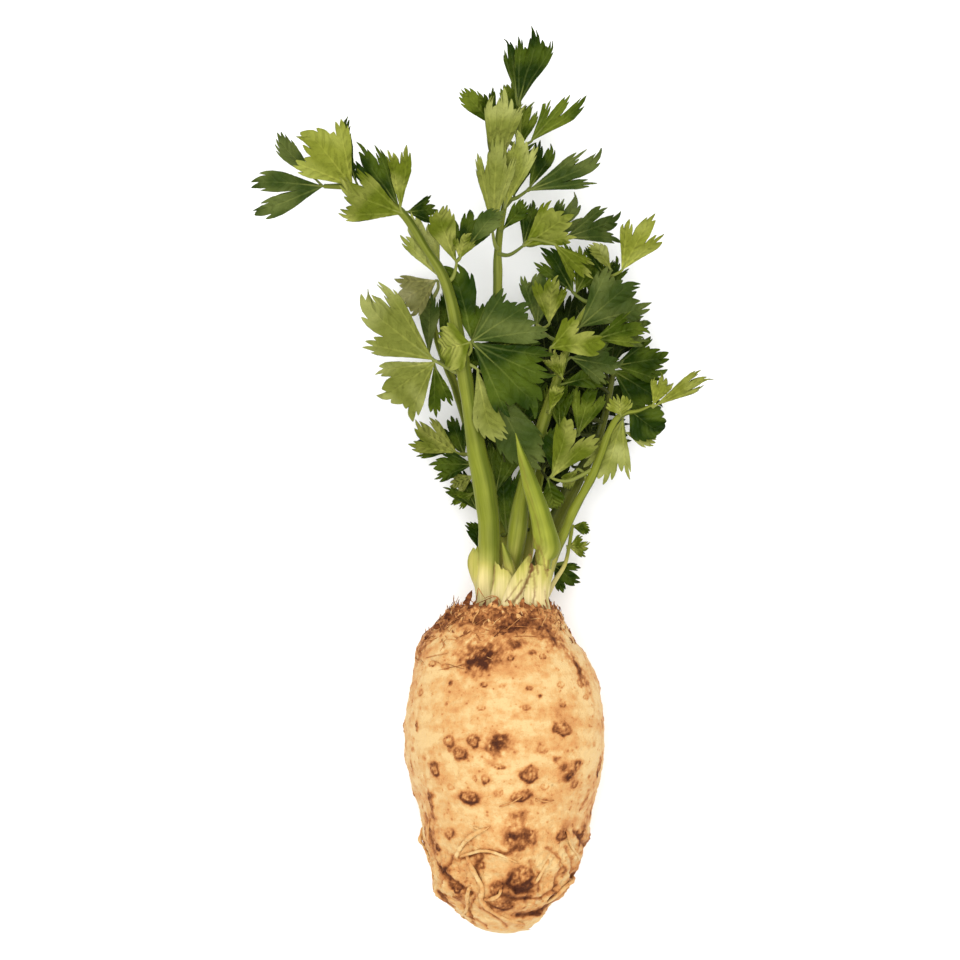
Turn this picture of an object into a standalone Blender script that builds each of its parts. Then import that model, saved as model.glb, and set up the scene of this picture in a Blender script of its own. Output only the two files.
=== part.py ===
"""A celeriac lying on its side: the swollen root, and the leafy stalks that grow from its crown.

Lengths are in millimetres until they go into a mesh. +Z is up and the crown looks along +Y. The
root rests on a small flat spot on its side, and the origin is under the middle of the whole
vegetable, on the surface that it lies on.
"""

import math
from dataclasses import dataclass

import bmesh
import bpy
import numpy as np

MM = 0.001

# The root: its axis runs along Y at this place, from the crown's flat top to the tail
AXIS_X = 11.0
AXIS_Z = 43.2
CROWN_Y = -56.4
TAIL_Y = -204.0

# Half of what the leaves reach further right than left, and further up than the root goes down
MIDDLE = (0.33, -0.13, 0.0)

ROOT_PROFILE = (
    (-56.4, 21.5),
    (-58.5, 24.6),
    (-63.0, 27.6),
    (-71.0, 33.0),
    (-80.0, 38.3),
    (-92.0, 41.8),
    (-106.0, 44.3),
    (-122.0, 45.0),
    (-134.0, 43.4),
    (-148.0, 39.6),
    (-162.0, 37.2),
    (-174.0, 32.8),
    (-184.0, 29.8),
    (-190.0, 25.0),
    (-197.0, 18.0),
    (-202.0, 10.5),
    (-204.0, 3.0),
)
ROOT_SIDES = 36
ROOT_RINGS = 23
LINE_SAMPLES = 200

# Broad lumps: angle round the axis from +X towards +Z in degrees, y, height, angular and long spread
ROOT_LUMPS = (
    (180, -72, 3.4, 34, 9),
    (0, -72, -2.2, 34, 10),
    (178, -186, 2.6, 30, 5),
    (2, -191, -2.8, 34, 6),
    (95, -78, -1.2, 20, 6),
    (70, -158, -1.0, 18, 7),
    (150, -178, 1.6, 18, 6),
    (40, -172, 1.4, 20, 7),
    (250, -100, 1.0, 40, 18),
)

# Corky scars where side roots broke off, seen from above: x, y, half width, half height
SCARS = (
    (-14, -117, 3.4, 2.6),
    (-2.5, -116.5, 3.0, 2.8),
    (-9, -122, 3.2, 3.0),
    (7, -117, 5.4, 4.2),
    (35.5, -110.5, 4.8, 3.0),
    (-20.5, -129, 3.0, 3.2),
    (22.5, -131, 4.4, 3.4),
    (39.5, -130, 4.2, 4.6),
    (-4.5, -142, 4.8, 2.8),
    (17.5, -141, 4.8, 2.8),
    (2, -132.5, 2.6, 2.4),
    (-21, -144, 3.0, 6.4),
    (15, -160, 6.4, 6.0),
    (-1, -79.5, 7.6, 4.4),
    (16, -73, 3.8, 3.0),
    (30.5, -71.5, 3.6, 3.0),
    (19, -179, 6.0, 5.2),
    (7, -189, 5.6, 4.4),
    (-11, -178, 5.2, 5.0),
    (36, -157, 4.0, 4.0),
)
HIDDEN_SCARS = 34
SCAR_RISE = 1.1

# Thin side roots over the tail, as places seen from above, with the radius at the thick end
ROOTLETS = (
    (1.1, ((6, -155), (-3, -157), (-8, -163), (-10.5, -169), (-6, -176), (-5, -186), (-5, -195))),
    (0.8, ((-9, -168), (-2, -165), (6, -166), (13, -169))),
    (1.3, ((-6, -168), (-2, -175), (1, -181), (1, -188), (8, -194), (15, -197), (21, -199))),
    (0.9, ((29, -170), (26, -177), (22, -183), (13, -184.5))),
    (1.0, ((39.5, -158), (41, -166), (44, -173))),
    (1.0, ((43, -176), (37, -185), (32, -190))),
    (0.9, ((1, -187), (7, -188), (11, -183))),
)
HIDDEN_ROOTLETS = 6
ROOTLET_SIDES = 3

# Brown tips of old leaf bases round the crown, and how far below its top they start
CROWN_SCALES = 20
SCALE_DROP = 3.4

# Blades are this thick, and are bent and cut by the values of their own leaflet
BLADE = 0.9
BLADE_RING = 0.42
SHOULDER = 0.5
EDGE_DROP = 0.3
LOBE_FILL = 0.92
BASE_NARROWING = 0.7
LONG_BLADE = 26.0
FOOT = 1.2
FORK = 0.6
ROOTED = 0.6
LONG_STRIP = 8.0
STRIP_BEND = 0.2
STRIP_WIDTH = 2.0

# A stalk's section has this share of its depth on its ribbed outer side
OUTER_SHARE = 0.65
STALK_SIDES = 8

# Edges sharper than this stay sharp when the surfaces are shaded smooth
SHARP_ANGLE = 40.0

# What a union leaves below this volume in cubic millimetres is a sealed hollow or a loose scrap
SCRAP = 20.0

SKIN = (0.80, 0.56, 0.30)
GREEN = (0.13, 0.24, 0.04)
PALE_GREEN = (0.42, 0.50, 0.12)


@dataclass
class Leaflet:
    """One blade. base is where it starts, along is how far up the main stalk its own one leaves.

    Without along it shares the little stalk of the last leaflet before it that has one.
    heading is its direction seen from above (0 along +X, 90 along +Y), rise lifts its tip and
    roll turns it about its midrib, with 180 showing the underside. spread is half its opening
    angle. fold raises both halves about the midrib and curl bends the tip down, in degrees.
    """

    along: float | None
    base: tuple
    heading: float
    length: float
    spread: float
    rise: float = 0.0
    roll: float = 0.0
    lobes: int = 3
    teeth: int = 2
    cut: float = 0.3
    tooth: float = 0.1
    fold: float = 8.0
    curl: float = 12.0
    ripple: float = 0.7


@dataclass
class Stalk:
    """A stalk's centreline points with its width and depth at each, and which way its ribs face."""

    name: str
    outer: tuple
    path: tuple
    leaflets: tuple = ()


STALKS = (
    Stalk(
        "stem_left",
        (-0.1, 0, 1),
        (
            (3, -56.1, 52.5, 13, 8.0),
            (1.6, -40, 53.5, 14.5, 7.5),
            (2.6, -30, 54, 12, 7.5),
            (4, -22, 54.5, 10.2, 7.5),
            (2.8, -10, 55.5, 10, 7.2),
            (0, 6, 57.5, 9.2, 6.6),
            (-4.2, 28, 60, 7.4, 5.6),
            (-8, 49, 62.5, 6.2, 5.0),
            (-12, 76, 64.5, 5.3, 4.4),
            (-16.5, 91, 65, 4.8, 4.0),
            (-24.5, 104, 64, 3.8, 3.2),
            (-33.5, 118, 62, 3.2, 2.8),
            (-43, 126, 60, 2.6, 2.4),
            (-56, 131, 58, 2.2, 2.0),
            (-70, 131.8, 56, 1.6, 1.5),
        ),
        (
            Leaflet(1.00, (-70, 131.8, 56), 181, 34, 27, -4, 8, lobes=2, teeth=3, cut=0.5),
            Leaflet(None, (-71.5, 134.5, 55), 130, 31, 13, 2, 0, lobes=1, teeth=4),
            Leaflet(0.93, (-56.5, 132, 59), 127, 36, 33, 12, 176, teeth=3, cut=0.25),
            Leaflet(None, (-55, 132, 57), 104, 33, 13, 4, 30, lobes=1, teeth=4),
            Leaflet(0.81, (-34.5, 118.5, 63), 165, 32, 27, 6, 172, teeth=3),
            Leaflet(None, (-35.5, 121, 63), 92, 30, 17, 10, 165, lobes=2),
            Leaflet(None, (-36, 121.5, 61), 122, 33, 17, 4, 20),
            Leaflet(None, (-33, 120, 61), 5, 15, 38, 4, 10),
            Leaflet(0.66, (-19, 92.5, 60), 119, 27, 25, -4, 170, cut=0.25),
            Leaflet(0.66, (-10.5, 97, 65), 107, 27, 14, 10, 160, lobes=1, teeth=4),
            Leaflet(None, (-9.2, 98.8, 66.6), 75, 14, 40, 12, 175),
            Leaflet(None, (-9, 99, 63), 90, 20, 42, 2, 5, cut=0.4),
            Leaflet(None, (-4, 104, 65), 50, 22, 18, 8, 15, lobes=1, teeth=4),
            Leaflet(0.47, (-18.5, 54.5, 63), 143, 42, 33, 6, 176, teeth=3, cut=0.25),
            Leaflet(None, (-19.5, 52.5, 63), 212, 31, 36, 0, 182, cut=0.25),
            Leaflet(None, (-18, 51.5, 62), 264, 21, 29, -8, 176),
            Leaflet(0.50, (-8.5, 57.5, 66.6), 178, 12, 52, 2, 182, teeth=3, cut=0.15),
            Leaflet(0.50, (-3, 62, 66), 28, 35, 42, 8, 5, teeth=3),
            Leaflet(None, (-3, 61, 66), -38, 46, 40, 3, -6, teeth=3, cut=0.25),
            Leaflet(None, (-5, 62, 62), 88, 32, 17, 2, 20),
            Leaflet(0.50, (-1, 53, 63), -80, 38.5, 17, -2, 178, cut=0.15),
            Leaflet(None, (3, 47, 60), -61, 43, 24, -8, 0, teeth=3, cut=0.15),
        ),
    ),
    Stalk(
        "stem_tall",
        (0, 0, -1),
        (
            (9.5, -56.1, 34, 11, 7.0),
            (10, -40, 34.5, 9.5, 6.5),
            (10, -15, 36.5, 8, 6.0),
            (9, 20, 38.5, 6.5, 5.4),
            (8, 60, 40.5, 5, 4.6),
            (8, 92, 42, 4, 4.0),
            (8, 102, 43, 3.8, 3.6),
            (9.5, 116, 45, 3, 3.0),
            (13, 132, 46, 2.6, 2.6),
            (17, 150, 45, 2.2, 2.2),
            (18, 172, 41, 1.6, 1.6),
        ),
        (
            Leaflet(0.70, (5, 110, 52), 86, 47, 18, 8, 172, teeth=3),
            Leaflet(None, (8.5, 136, 52), 85, 44, 15, 6, 168),
            Leaflet(0.80, (13, 126, 49), 73, 40, 19, 6, 172, teeth=3),
            Leaflet(1.00, (16, 172, 42), 101, 27, 18, 0, -10),
            Leaflet(None, (17, 170, 43), 73, 35, 22, 6, 15, teeth=3, cut=0.15),
            Leaflet(0.95, (14, 163, 40), 108, 18, 15, -10, 0, lobes=1, teeth=4),
            Leaflet(0.90, (5, 160, 46), 130, 22, 17, 6, 185, lobes=1, teeth=4),
            Leaflet(None, (6, 160, 46), 102, 19, 22, 10, 150, lobes=2),
            Leaflet(0.90, (23, 152, 44), 40, 33, 24, 4, 10, cut=0.45),
            Leaflet(0.80, (22, 131, 42), 66, 24, 22, -4, -5, lobes=2),
            Leaflet(None, (21, 130, 43), 23, 37, 19, 3, 8, cut=0.4),
            Leaflet(0.69, (19.5, 105.5, 44), 76, 22, 24, -4, 0),
            Leaflet(None, (20, 105.3, 47), 36, 27, 34, 8, 176, cut=0.15),
            Leaflet(None, (30, 108, 43), 48, 24, 32, 0, -5, cut=0.4),
            Leaflet(None, (38, 108.5, 43), 18, 27, 27, 3, 0),
            Leaflet(None, (33, 106, 54), -42, 24, 24, 0, 170),
        ),
    ),
    Stalk(
        "stem_middle",
        (0, 0, 1),
        (
            (13, -56.1, 43.5, 11, 7.0),
            (14, -40, 44, 8.5, 6.5),
            (15.5, -20, 45, 7, 6.0),
            (19, -5, 45.5, 6.5, 5.6),
            (26, 18, 46.5, 5.5, 4.8),
            (33, 40, 48, 4.5, 4.0),
            (39, 58, 49, 3.5, 3.4),
            (46, 74, 49, 3, 2.8),
            (58, 90, 49, 2, 2.0),
        ),
        (
            Leaflet(0.80, (26, 71, 49), 98, 27, 30, 2, 0, cut=0.25),
            Leaflet(None, (27, 71, 55), 66, 22, 28, 10, 172),
            Leaflet(0.92, (42, 84, 48), 118, 23, 30, 4, 5),
            Leaflet(None, (43, 84, 44), 62, 25, 34, 0, 5),
            Leaflet(1.00, (56, 92, 46), 124, 16, 16, 0, 10, lobes=1, teeth=3),
            Leaflet(None, (59, 94, 48), 120, 16, 24, 10, 170, lobes=1, teeth=4),
            Leaflet(None, (63.5, 94, 51), 60, 28, 34, 10, 172),
            Leaflet(0.84, (44, 70, 51), 33, 35, 38, 3, 0, teeth=3, cut=0.15),
            Leaflet(0.80, (51, 63, 55), 16, 25, 30, 0, 178),
            Leaflet(0.82, (57, 61, 46), 2, 19, 27, 0, 175, lobes=1, teeth=4),
            Leaflet(0.74, (31.5, 58, 60), 34, 27, 38, 8, 174, cut=0.35),
            Leaflet(0.72, (40, 54, 50), -2, 26, 36, 2, 0, cut=0.2),
            Leaflet(0.69, (37, 45.5, 56), 110, 14, 34, 6, 170),
            Leaflet(0.66, (36.5, 43, 49), 14, 21, 24, 0, 10, lobes=1, teeth=4),
            Leaflet(0.58, (31, 30, 54), 72, 15, 22, 8, 165, lobes=1, teeth=4),
            Leaflet(0.52, (36, 22, 46), 92, 24, 27, 0, 10),
            Leaflet(0.52, (44, 20, 45), 74, 26, 30, 0, 0),
            Leaflet(0.93, (52, 79, 44), 90, 24, 30, 0, 5),
        ),
    ),
    Stalk(
        "stem_right",
        (0.5, 0, 1),
        (
            (26, -56.1, 43, 9, 6.5),
            (29.5, -40, 45, 7, 5.5),
            (36.5, -24, 47.5, 5, 4.6),
            (42, -12, 49, 4.6, 4.2),
            (48.5, 0, 51, 4.2, 4.0),
            (52, 10, 52.5, 3.8, 3.6),
            (55.5, 20, 54, 3.4, 3.2),
            (60, 27, 56, 2.8, 2.8),
            (65, 30, 57, 2, 2.0),
            (71, 31, 57, 1.6, 1.6),
            (77, 33.5, 57, 1.3, 1.3),
        ),
        (
            Leaflet(0.86, (63, 29, 59), 95, 10, 66, 15, 175, lobes=1, teeth=6, tooth=0.3),
            Leaflet(1.00, (77.5, 33.5, 58), 72, 14, 26, 8, 170),
            Leaflet(None, (78, 33, 58), 31, 30.5, 14, 4, 178),
            Leaflet(0.90, (68, 30, 54), -40, 18, 42, -6, 5, cut=0.12),
            Leaflet(0.88, (64, 27.5, 53), -98, 32, 22, -10, 175),
            Leaflet(None, (66, 20, 50), -18, 15, 18, -5, 175, lobes=1, teeth=3),
            Leaflet(0.52, (36, 6, 55), 42, 27, 22, 8, 172),
            Leaflet(None, (36.2, 8.6, 54.4), 68, 26, 13, 8, 165, lobes=1, teeth=4),
            Leaflet(None, (34.4, 8.6, 52.8), 90, 25, 14, 2, 10, lobes=1, teeth=4),
            Leaflet(0.52, (33, 0, 51), -92, 14, 34, -10, 5, lobes=1, teeth=4),
            Leaflet(0.54, (44, 5, 50), -130, 11, 30, -5, 175, lobes=1, teeth=4),
        ),
    ),
    Stalk(
        "stem_back",
        (0.3, 0, -1),
        (
            (22, -56.1, 34, 9.5, 6.5),
            (27, -40, 34, 7.5, 5.5),
            (35, -20, 35, 5, 4.6),
            (44, -3, 35, 4.6, 4.2),
            (52, 15, 35, 4.2, 3.8),
            (57, 32, 35, 3.4, 3.2),
            (60, 48, 36, 2.2, 2.2),
        ),
        (
            Leaflet(1.00, (60, 49, 37), 16, 27, 30, 4, 0, cut=0.2),
            Leaflet(None, (60, 48, 35), -34, 27, 34, 0, 0, cut=0.35),
            Leaflet(None, (58.5, 50, 35.5), 78, 28, 32, -4, 0),
            Leaflet(0.85, (52, 36, 32), 115, 30, 32, -2, 0),
            Leaflet(0.70, (50, 18, 31), 112, 27, 32, -2, 0),
            Leaflet(0.60, (42, 6, 30), 100, 24, 32, -6, 0),
        ),
    ),
    Stalk(
        "stem_small",
        (1, 0, 0),
        (
            (27.5, -56.1, 37, 3.2, 3.2),
            (33, -46, 35, 2.6, 2.6),
            (38, -38, 33.5, 2, 2.0),
            (40, -30, 32.5, 1.7, 1.7),
            (41.5, -20, 33, 1.4, 1.4),
        ),
        (
            Leaflet(1.00, (41.5, -19.5, 33), -8, 8.5, 34, 4, 10, lobes=1, teeth=4),
            Leaflet(0.72, (40, -31, 33), 2, 10, 50, 8, 170, tooth=0.2),
            Leaflet(0.55, (36.3, -38.8, 32.2), -50, 13, 44, 0, 5, cut=0.4),
        ),
    ),
    Stalk(
        "stem_under",
        (-0.6, 0, -1),
        (
            (2.5, -56.1, 42, 9.5, 6.5),
            (0.5, -40, 39, 8, 6.0),
            (-1, -22, 34, 7, 5.5),
            (-3, -2, 29, 6, 5.0),
            (-7, 20, 24, 5, 4.2),
            (-13, 42, 20, 4, 3.6),
            (-19, 62, 19, 3, 2.8),
            (-22, 82, 21, 2, 2.0),
        ),
        (
            Leaflet(1.00, (-22, 88.5, 23), 203, 20, 38, 5, 175),
            Leaflet(0.80, (-23, 59, 22), 86, 27, 18, 6, 10),
            Leaflet(0.50, (-10, 12, 30), 150, 24, 28, 6, 175),
            Leaflet(None, (-12, 12, 27), 180, 20, 22, 0, 5),
            Leaflet(None, (-7, 11, 27), 108, 19, 28, 4, 10),
            Leaflet(0.44, (-3, 7, 31), 188, 21, 38, 0, 0, ripple=1.6),
            Leaflet(0.40, (-5, 0, 29), 204, 10, 36, 0, 175),
            Leaflet(0.36, (-4, -9.5, 30), 190, 9.5, 26, -3, 5),
            Leaflet(0.30, (4, -16, 29), 72, 27, 30, -4, 0),
            Leaflet(0.44, (5, 2, 26), 50, 27, 30, -4, 0),
            Leaflet(0.62, (-6, 30, 20), 58, 27, 28, 0, 0),
            Leaflet(0.50, (3, 14, 23), 68, 26, 30, -4, 0),
            Leaflet(0.66, (-16, 38, 16), 198, 24, 28, -10, 0),
        ),
    ),
    Stalk(
        "stem_low",
        (0.2, 0, -1),
        (
            (15.5, -56.1, 26.5, 8.5, 5.0),
            (18, -40, 23, 7, 5.0),
            (22, -20, 18.5, 6, 4.8),
            (27, 5, 14, 5, 4.2),
            (33, 30, 11, 4, 3.4),
            (39, 50, 10, 2.6, 2.4),
        ),
        (
            Leaflet(1.00, (40, 52, 10), 58, 34, 34, -4, 0, teeth=3),
            Leaflet(0.86, (42, 36, 10), 8, 30, 32, -6, 0),
            Leaflet(0.84, (26, 38, 11), 112, 32, 32, -6, 0),
            Leaflet(0.59, (35, 8, 12), 32, 28, 32, -8, 0),
            Leaflet(0.60, (18, 10, 13), 128, 26, 30, -8, 0),
            Leaflet(0.45, (24, -8, 15), 60, 26, 34, -8, 0),
            Leaflet(0.96, (37, 60, 12), 98, 33, 32, -3, 0),
            Leaflet(0.80, (45, 24, 10), -16, 26, 32, -6, 0),
            Leaflet(0.32, (16, -22, 20), 96, 27, 34, -8, 0),
        ),
    ),
    Stalk(
        "stalk_cut",
        (0.2, 0, 1),
        (
            (23.3, -56.1, 52, 12.8, 7.5),
            (27, -42, 54, 11.5, 7.0),
            (29.8, -30, 57, 13, 6.5),
            (29.3, -22, 59, 13, 6.0),
            (25.8, -12, 61, 10.5, 5.4),
            (22.4, 0, 63, 7.8, 4.6),
            (19.8, 8, 64.2, 5.5, 3.6),
            (18, 15, 65.2, 3.2, 2.4),
            (16.3, 21, 66, 0.8, 0.8),
        ),
    ),
    Stalk(
        "stalk_stub",
        (0, 0, 1),
        (
            (13.4, -56.1, 51.5, 5.4, 4.4),
            (14, -44, 52.2, 4.8, 4.0),
            (12.2, -36, 53.6, 3.6, 3.0),
            (10.6, -28.5, 55, 0.8, 0.8),
        ),
    ),
)


def material(name, colour, roughness):
    """A Principled material of one colour."""
    made = bpy.data.materials.new(name)
    made.use_nodes = True
    shader = made.node_tree.nodes["Principled BSDF"]
    shader.inputs["Base Color"].default_value = (*colour, 1.0)
    shader.inputs["Roughness"].default_value = roughness
    shader.inputs["Metallic"].default_value = 0.0
    return made


def mesh_of(name, points, faces):
    """A mesh from points in millimetres, moved so that the origin is under the middle."""
    mesh = bpy.data.meshes.new(name)
    mesh.from_pydata([tuple(p) for p in (np.asarray(points) - MIDDLE) * MM], [], faces)
    return mesh


def solid(name, points, faces):
    """An object from points and faces, with its normals made to point out."""
    mesh = mesh_of(name, points, faces)
    work = bmesh.new()
    work.from_mesh(mesh)
    bmesh.ops.recalc_face_normals(work, faces=work.faces)
    bmesh.ops.triangulate(work, faces=work.faces)
    work.to_mesh(mesh)
    work.free()
    made = bpy.data.objects.new(name, mesh)
    PARTS.objects.link(made)
    return made


def loft(name, rings):
    """A closed solid through rings of equally many points, with a flat cap on each end."""
    rings = np.asarray(rings)
    count, sides = rings.shape[:2]
    faces = [tuple(range(sides)), tuple((count - 1) * sides + k for k in reversed(range(sides)))]
    for i in range(count - 1):
        for k in range(sides):
            after = (k + 1) % sides
            faces.append((i * sides + k, (i + 1) * sides + k, (i + 1) * sides + after, i * sides + after))
    return solid(name, rings.reshape(-1, 3), faces)


def smooth_through(points, count):
    """count points evenly along a Catmull-Rom curve through the given ones."""
    points = np.asarray(points, float)
    ends = np.vstack([2 * points[0] - points[1], points, 2 * points[-1] - points[-2]])
    along = np.linspace(0, len(points) - 1, 24 * len(points))
    step = np.minimum(along.astype(int), len(points) - 2)
    t = (along - step)[:, None]
    p0, p1, p2, p3 = (ends[step + k] for k in range(4))
    curve = 0.5 * (
        2 * p1 + (p2 - p0) * t + (2 * p0 - 5 * p1 + 4 * p2 - p3) * t**2 + (3 * p1 - p0 - 3 * p2 + p3) * t**3
    )
    run = np.concatenate([[0], np.cumsum(np.linalg.norm(np.diff(curve[:, :3], axis=0), axis=1))])
    at = np.linspace(0, run[-1], count)
    return np.stack([np.interp(at, run, curve[:, k]) for k in range(points.shape[1])], axis=1)


def directions(path):
    """Unit tangents of a line of points."""
    tangents = np.gradient(path, axis=0)
    return tangents / np.linalg.norm(tangents, axis=1, keepdims=True)


def tube_rings(path, widths, depths, outer, sides, outer_share=0.5):
    """Rings round a path: ellipses whose outer half holds outer_share of the depth."""
    tangents = directions(path)
    facing = np.asarray(outer, float) - tangents * (tangents @ np.asarray(outer, float))[:, None]
    facing /= np.linalg.norm(facing, axis=1, keepdims=True)
    across = np.cross(tangents, facing)
    turn = 2 * np.pi * (np.arange(sides) + 0.5) / sides
    share = np.where(np.sin(turn) > 0, outer_share, 1 - outer_share)
    side = np.cos(turn)[None, :, None] * across[:, None, :] * (widths / 2)[:, None, None]
    front = (np.sin(turn) * share)[None, :, None] * facing[:, None, :] * depths[:, None, None]
    return path[:, None, :] + side + front


def root_lumps(angle, y):
    """Height of the root's broad lumps and of the fine rings round it, at an angle in radians."""
    inside = np.clip((CROWN_Y - y) / 14, 0, 1) * np.clip((y - TAIL_Y) / 12, 0, 1)
    height = 0.7 * np.cos(2 * angle + 0.9 + y / 40) + 0.6 * np.cos(3 * angle - y / 22)
    height += 0.4 * np.cos(5 * angle + y / 13) + 0.35 * np.cos(0.75 * y + 1.4 * np.cos(2 * angle))
    height = height * inside
    for degrees, centre, rise, turn_spread, long_spread in ROOT_LUMPS:
        away = np.angle(np.exp(1j * (angle - math.radians(degrees)))) / math.radians(turn_spread)
        height = height + rise * np.exp(-(away**2) - ((y - centre) / long_spread) ** 2)
    return height


def profile_radius(y):
    """The root's radius before its lumps."""
    line = smooth_through(ROOT_PROFILE, LINE_SAMPLES)
    return np.interp(-np.asarray(y, float), -line[:, 0], line[:, 1])


def all_scars():
    """The scars seen from above, and as many more round the hidden side, as angle, y and sizes."""
    scars = []
    for x, y, wide, tall in SCARS:
        cosine = np.clip((x - AXIS_X) / float(profile_radius(y)), -1, 1)
        scars.append((math.acos(cosine), y, wide, tall))
    draw = np.random.default_rng(7)
    for _ in range(HIDDEN_SCARS):
        angle = math.radians(draw.uniform(178, 362))
        y = draw.uniform(-186, -66)
        size = draw.uniform(2.2, 4.6)
        scars.append((angle, y, size, size * draw.uniform(0.6, 1.1)))
    return scars


def root_surface(angle, y):
    """Points of the root's skin in millimetres."""
    radius = profile_radius(y)
    rise = root_lumps(angle, y)
    for scar_angle, scar_y, wide, tall in all_scars():
        across = np.angle(np.exp(1j * (angle - scar_angle))) * radius / wide
        rise = rise + SCAR_RISE * np.exp(-(across**2) - ((y - scar_y) / tall) ** 2)
    radius = np.maximum(radius + rise, 0.5)
    return np.stack([AXIS_X + radius * np.cos(angle), y, AXIS_Z + radius * np.sin(angle)], axis=-1)


def make_root_body():
    """The turned root with its lumps and scars, cut flat where it rests."""
    line = smooth_through(ROOT_PROFILE, ROOT_RINGS)
    turn = 2 * np.pi * np.arange(ROOT_SIDES) / ROOT_SIDES
    rings = [root_surface(turn, np.full(ROOT_SIDES, y)) for y in line[:, 0]]
    body = loft("root", rings)
    work = bmesh.new()
    work.from_mesh(body.data)
    everything = work.verts[:] + work.edges[:] + work.faces[:]
    bmesh.ops.bisect_plane(work, geom=everything, plane_co=(0, 0, 0), plane_no=(0, 0, -1), clear_outer=True)
    bmesh.ops.holes_fill(work, edges=[e for e in work.edges if e.is_boundary])
    bmesh.ops.triangulate(work, faces=work.faces)
    work.to_mesh(body.data)
    work.free()
    return body


def make_rootlets():
    """Thin side roots that wander over the tail, half sunk in it, seen ones first."""
    routes = []
    for radius, places in ROOTLETS:
        route = []
        for x, y in places:
            cosine = np.clip((x - AXIS_X) / (float(profile_radius(y)) + 0.1), -1, 1)
            route.append((math.acos(cosine), y))
        routes.append((radius, route))
    draw = np.random.default_rng(11)
    for _ in range(HIDDEN_ROOTLETS):
        angle = math.radians(draw.choice([190, 215, 320, 345]) + draw.uniform(-10, 10))
        y = draw.uniform(-165, -150)
        route = [(angle, y)]
        for _ in range(4):
            angle += draw.uniform(-0.16, 0.16)
            y -= draw.uniform(6, 10)
            route.append((angle, y))
        routes.append((draw.uniform(0.7, 1.1), route))
    made = []
    for number, (radius, route) in enumerate(routes):
        line = smooth_through(route, 8)
        skin = root_surface(line[:, 0], line[:, 1])
        away = np.stack([np.cos(line[:, 0]), np.zeros(len(line)), np.sin(line[:, 0])], axis=1)
        lift = 0.3 * radius - 1.6 * radius * (np.linspace(-1, 1, len(line)) ** 8)
        path = skin + away * lift[:, None]
        thick = 2 * radius * np.linspace(1.0, 0.45, len(line))
        made.append(loft(f"rootlet_{number}", tube_rings(path, thick, thick, (0, 0.2, 1), ROOTLET_SIDES)))
    return made


def make_crown_scales():
    """Short brown points left by old leaf bases, leaning out round the crown's edge."""
    draw = np.random.default_rng(5)
    made = []
    for k in range(CROWN_SCALES):
        angle = 2 * math.pi * (k + draw.uniform(-0.3, 0.3)) / CROWN_SCALES
        out = np.array([math.cos(angle), 0, math.sin(angle)])
        around = np.array([-math.sin(angle), 0, math.cos(angle)])
        foot = np.array([AXIS_X, CROWN_Y - SCALE_DROP, AXIS_Z]) + out * draw.uniform(22.2, 23.2)
        tip = foot + out * draw.uniform(1.8, 3.8) + around * draw.uniform(-2, 2)
        tip[1] = CROWN_Y + draw.uniform(2.0, 5.0)
        wide = draw.uniform(1.6, 3.0)
        corners = (foot + around * wide, foot - around * wide, foot + out * 1.6, tip)
        made.append(solid(f"scale_{k}", corners, [(0, 1, 2), (0, 1, 3), (1, 2, 3), (2, 0, 3)]))
    return made


def margin(leaf, number):
    """The blade's edge as angles from its midrib and reaches from its base, 1 at the longest tip.

    Each lobe is a run of pointed teeth between two notches. The tips reach 1 on the midrib and
    fall by the square of their angle to 1 - EDGE_DROP at the sides. The first and last points are
    the shoulders, where the smooth wedge-shaped base ends. A seeded draw makes each blade its own.
    """
    draw = np.random.default_rng(100 + number)
    spread = math.radians(leaf.spread)
    lobe_angle = 2 * spread / leaf.lobes
    points = [(-spread, SHOULDER)]
    for lobe in range(leaf.lobes):
        centre = -spread + (lobe + 0.5) * lobe_angle
        if lobe:
            points.append((centre - lobe_angle / 2, (1 - leaf.cut) * draw.uniform(0.9, 0.96)))
        for tooth in range(leaf.teeth):
            angle = centre + ((tooth + 0.5) / leaf.teeth * 2 - 1) * LOBE_FILL / 2 * lobe_angle
            reach = (1 - EDGE_DROP * (angle / spread) ** 2) * draw.uniform(0.95, 1.02)
            if tooth:
                points.append((angle - LOBE_FILL / 2 * lobe_angle / leaf.teeth, reach * (1 - leaf.tooth)))
            points.append((angle, reach))
    points.append((spread, SHOULDER))
    return np.array(points)


def blade_point(leaf, angle, r):
    """Points of the blade at angles from the midrib and distances from the base.

    The flat fan is folded about its midrib, rippled towards its edge, curled along its length,
    then turned to its heading, rise and roll.
    """
    v = r / leaf.length
    turned = angle * (BASE_NARROWING + (1 - BASE_NARROWING) * v)
    across, along = r * np.sin(turned), r * np.cos(turned)
    fold = math.radians(leaf.fold)
    soft = 0.05 * leaf.length
    wing = np.sqrt(across**2 + soft**2) - soft
    height = wing * math.sin(fold) + leaf.ripple * v**2 * np.sin(4.5 * angle + leaf.heading)
    across = across * math.cos(fold)
    bend = leaf.length / math.radians(leaf.curl)
    along, height = (bend + height) * np.sin(along / bend), (bend + height) * np.cos(along / bend) - bend
    forward, side, normal = blade_axes(leaf)
    shape = (along[..., None] * forward, across[..., None] * side, height[..., None] * normal)
    return np.asarray(leaf.base, float) + sum(shape)


def blade_axes(leaf):
    """The blade's forward, sideways and upward directions."""
    heading, rise, roll = (math.radians(a) for a in (leaf.heading, leaf.rise, leaf.roll))
    forward = np.array([math.cos(heading) * math.cos(rise), math.sin(heading) * math.cos(rise), math.sin(rise)])
    level = np.array([math.sin(heading), -math.cos(heading), 0.0])
    up = np.cross(level, forward)
    side = level * math.cos(roll) + up * math.sin(roll)
    return forward, side, np.cross(side, forward)


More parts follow.
